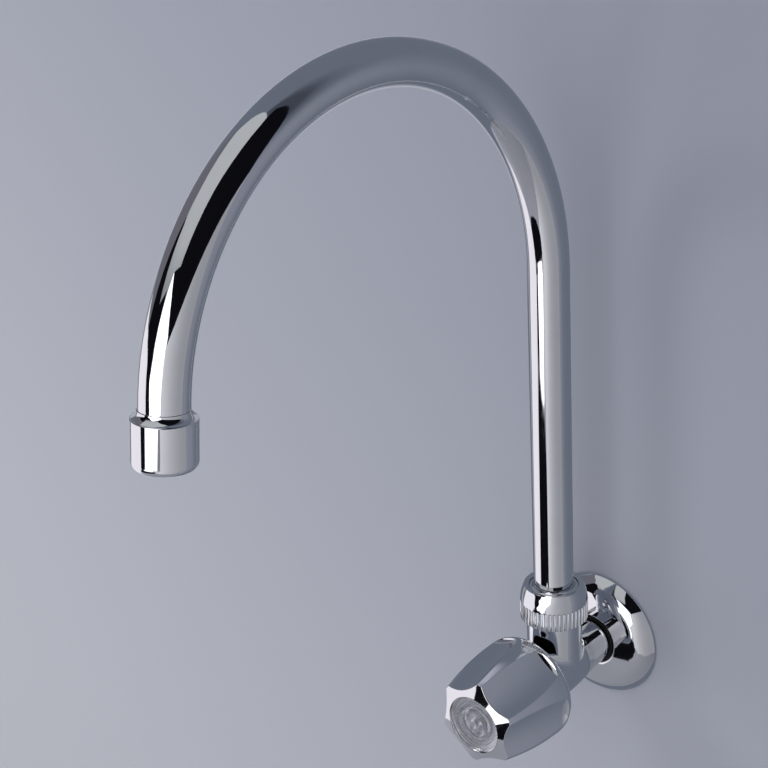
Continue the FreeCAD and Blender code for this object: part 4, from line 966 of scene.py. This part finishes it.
def add_wall(settings):
    wall = wall_sheet("wall", 0.0, settings)
    finish = Finish("wall_paint")
    tree = finish.tree
    finish.put(Roughness=0.9, Specular_IOR_Level=0.1)
    # Painted shade: the wall's colour darkens along the slant towards the upper right, where the light
    # falls off.
    share = ranged(tree, reach_along(tree, finish.place, WALL_SHADE_SLANT), *WALL_SHADE_FADE, 0.0, 1.0)
    finish.drive("Base Color", blended(tree, share, colour(settings.wall), colour(settings.wall_far_painted_shade)))
    one_sided(finish)
    wall.data.materials.append(finish.material)


def add_floor(settings):
    height = settings.floor_height
    corners = ((-ROOM, -ROOM, height), (ROOM, -ROOM, height), (ROOM, 0, height), (-ROOM, 0, height))
    floor = sheet_object("floor", corners)
    finish = Finish("floor_paint")
    tree = finish.tree
    finish.put(Roughness=0.8, Specular_IOR_Level=0.2)
    tone = noise(tree, finish.place, 3.0, 2.0)
    pale = colour(settings.floor)
    deeper = tuple(c * 0.94 for c in settings.floor)
    finish.drive("Base Color", blended(tree, tone, pale, colour(deeper)))
    one_sided(finish)
    floor.data.materials.append(finish.material)


def ascending(start, end):
    """Range limits for a smooth step from 0 at start to 1 at end, whichever is the larger."""
    if start < end:
        return start, end, 0.0, 1.0
    return end, start, 1.0, 0.0


def glowing(finish, shade):
    """Turns a finish into a plain light of one colour or of a colour that changes over the card."""
    tree = finish.tree
    tree.nodes.remove(finish.shader)
    glow = tree.nodes.new("ShaderNodeEmission")
    feed(tree, glow.inputs["Color"], shade)
    join(tree, glow.outputs["Emission"], tree.nodes["Material Output"].inputs["Surface"])


def unseen(card):
    """The camera looks through a card, and it throws no shadow."""
    card.visible_camera = False
    card.visible_shadow = False


def add_cards(settings):
    centre = Vector(CARD_CENTRE)
    lowest = settings.floor_height + CARD_CLEARANCE
    for name, distance, light, outline, fade in CARDS:
        corners = []
        for bearing, height, *own in outline:
            ray = towards(bearing, height)
            reach = own[0] if own else distance
            if ray.z < 0:
                reach = min(reach, (lowest - centre.z) / ray.z)
            if ray.y > 0:
                reach = min(reach, (-CARD_CLEARANCE - centre.y) / ray.y)
            corners.append(centre + ray * reach)
        card = sheet_object("card_" + name, corners)
        finish = Finish("card_" + name)
        shade = colour(light)
        if fade is not None:
            far_light, start, end = fade
            along = split(finish.tree, finish.place)["Y"]
            share = ranged(finish.tree, along, start, end, 0.0, 1.0)
            shade = blended(finish.tree, share, colour(light), colour(far_light))
        glowing(finish, shade)
        card.data.materials.append(finish.material)
        unseen(card)
        card.visible_diffuse = max(light) > 0.1


def add_wall_reflection(settings):
    """The wall's painted reflection, which only polished metal sees: painted shade above and near the
    faucet, painted light low down at the sides.
    """
    card = wall_sheet("card_wall_painted_reflection", -WALL_CARD_GAP, settings)
    finish = Finish("card_wall_painted_reflection")
    tree = finish.tree
    place = split(tree, finish.place)
    shade = colour(WALL_CARD_LIGHT)
    # The patches paint the wall's reflection paler low down at the sides and darker up on the right:
    # painted light and painted shade.
    for light, x_start, x_end, z_start, z_end in WALL_PATCHES:
        sideways = ranged(tree, place["X"], *ascending(x_start, x_end))
        upright = ranged(tree, place["Z"], *ascending(z_start, z_end))
        shade = blended(tree, maths(tree, "MULTIPLY", sideways, upright), shade, colour(light))
    glowing(finish, shade)
    card.data.materials.append(finish.material)
    unseen(card)
    card.visible_diffuse = False


def add_lamp(settings):
    lamp = bpy.data.lights.new("key", "AREA")
    lamp.shape = "DISK"
    lamp.size = LAMP_SIZE
    lamp.energy = settings.key_power
    holder = bpy.data.objects.new("key", lamp)
    holder.location = LAMP_PLACE
    aim = Vector(LAMP_AIM) - holder.location
    holder.rotation_euler = aim.to_track_quat("-Z", "Y").to_euler()
    holder.visible_glossy = False
    bpy.context.scene.collection.objects.link(holder)


def add_camera(settings):
    data = bpy.data.cameras.new("camera")
    data.sensor_width = SENSOR_WIDTH
    data.lens = settings.focal_length
    data.clip_start = 0.01
    camera = bpy.data.objects.new("camera", data)
    columns = (Vector(CAMERA_RIGHT), Vector(CAMERA_UP), -Vector(CAMERA_FORWARD), Vector(CAMERA_PLACE))
    place = Matrix.Identity(4)
    for column, values in enumerate(columns):
        for row in range(3):
            place[row][column] = values[row]
    camera.matrix_world = place
    bpy.context.scene.collection.objects.link(camera)
    bpy.context.scene.camera = camera


def add_room_light(settings):
    scene = bpy.context.scene
    world = bpy.data.worlds.new("room")
    scene.world = world
    world.use_nodes = True
    tree = world.node_tree
    direction = tree.nodes.new("ShaderNodeTexCoord").outputs["Generated"]
    overhead = ranged(tree, split(tree, direction)["Z"], *ROOM_LIGHT_FADE, 0.0, 1.0)
    shade = blended(tree, overhead, colour(settings.haze), colour(settings.sky))
    join(tree, shade, tree.nodes["Background"].inputs["Color"])


class FAUCET_OT_stage(bpy.types.Operator):
    """Wall, floor, reflection cards, lamp and camera"""

    bl_idname = "faucet.stage"
    bl_label = "Stage"

    def execute(self, context):
        settings = context.scene.faucet_stage
        context.scene.view_settings.view_transform = "Standard"
        add_wall(settings)
        add_floor(settings)
        add_cards(settings)
        add_wall_reflection(settings)
        add_lamp(settings)
        add_camera(settings)
        add_room_light(settings)
        return {"FINISHED"}


PIECE_OPERATORS = (
    FAUCET_OT_cast_body,
    FAUCET_OT_wall_flange,
    FAUCET_OT_union_nut,
    FAUCET_OT_spout_tube,
    FAUCET_OT_collars,
    FAUCET_OT_handle,
    FAUCET_OT_headwork,
    FAUCET_OT_screws,
    FAUCET_OT_seals,
    FAUCET_OT_plastics,
    FAUCET_OT_index_disc,
    FAUCET_OT_index_button,
    FAUCET_OT_stage,
)


class FAUCET_PT_sidebar(bpy.types.Panel):
    """Lists the faucet's pieces and their settings"""

    bl_label = "Wall Faucet"
    bl_idname = "FAUCET_PT_sidebar"
    bl_space_type = "VIEW_3D"
    bl_region_type = "UI"
    bl_category = "Wall Faucet"

    def draw(self, context):
        scene = context.scene
        for group in (scene.faucet_finish, scene.faucet_button, scene.faucet_stage):
            box = self.layout.box()
            for name in group.__annotations__:
                box.prop(group, name)
        for operator in PIECE_OPERATORS:
            self.layout.operator(operator.bl_idname)


GROUPS = (FaucetFinish, FaucetButton, FaucetStage)


def register():
    for item in GROUPS + PIECE_OPERATORS + (FAUCET_PT_sidebar,):
        bpy.utils.register_class(item)
    bpy.types.Scene.faucet_finish = PointerProperty(type=FaucetFinish)
    bpy.types.Scene.faucet_button = PointerProperty(type=FaucetButton)
    bpy.types.Scene.faucet_stage = PointerProperty(type=FaucetStage)


def unregister():
    del bpy.types.Scene.faucet_stage
    del bpy.types.Scene.faucet_button
    del bpy.types.Scene.faucet_finish
    for item in reversed(GROUPS + PIECE_OPERATORS + (FAUCET_PT_sidebar,)):
        bpy.utils.unregister_class(item)


def main():
    register()
    for operator in PIECE_OPERATORS:
        family, name = operator.bl_idname.split(".")
        getattr(getattr(bpy.ops, family), name)()


if __name__ == "__main__":
    main()
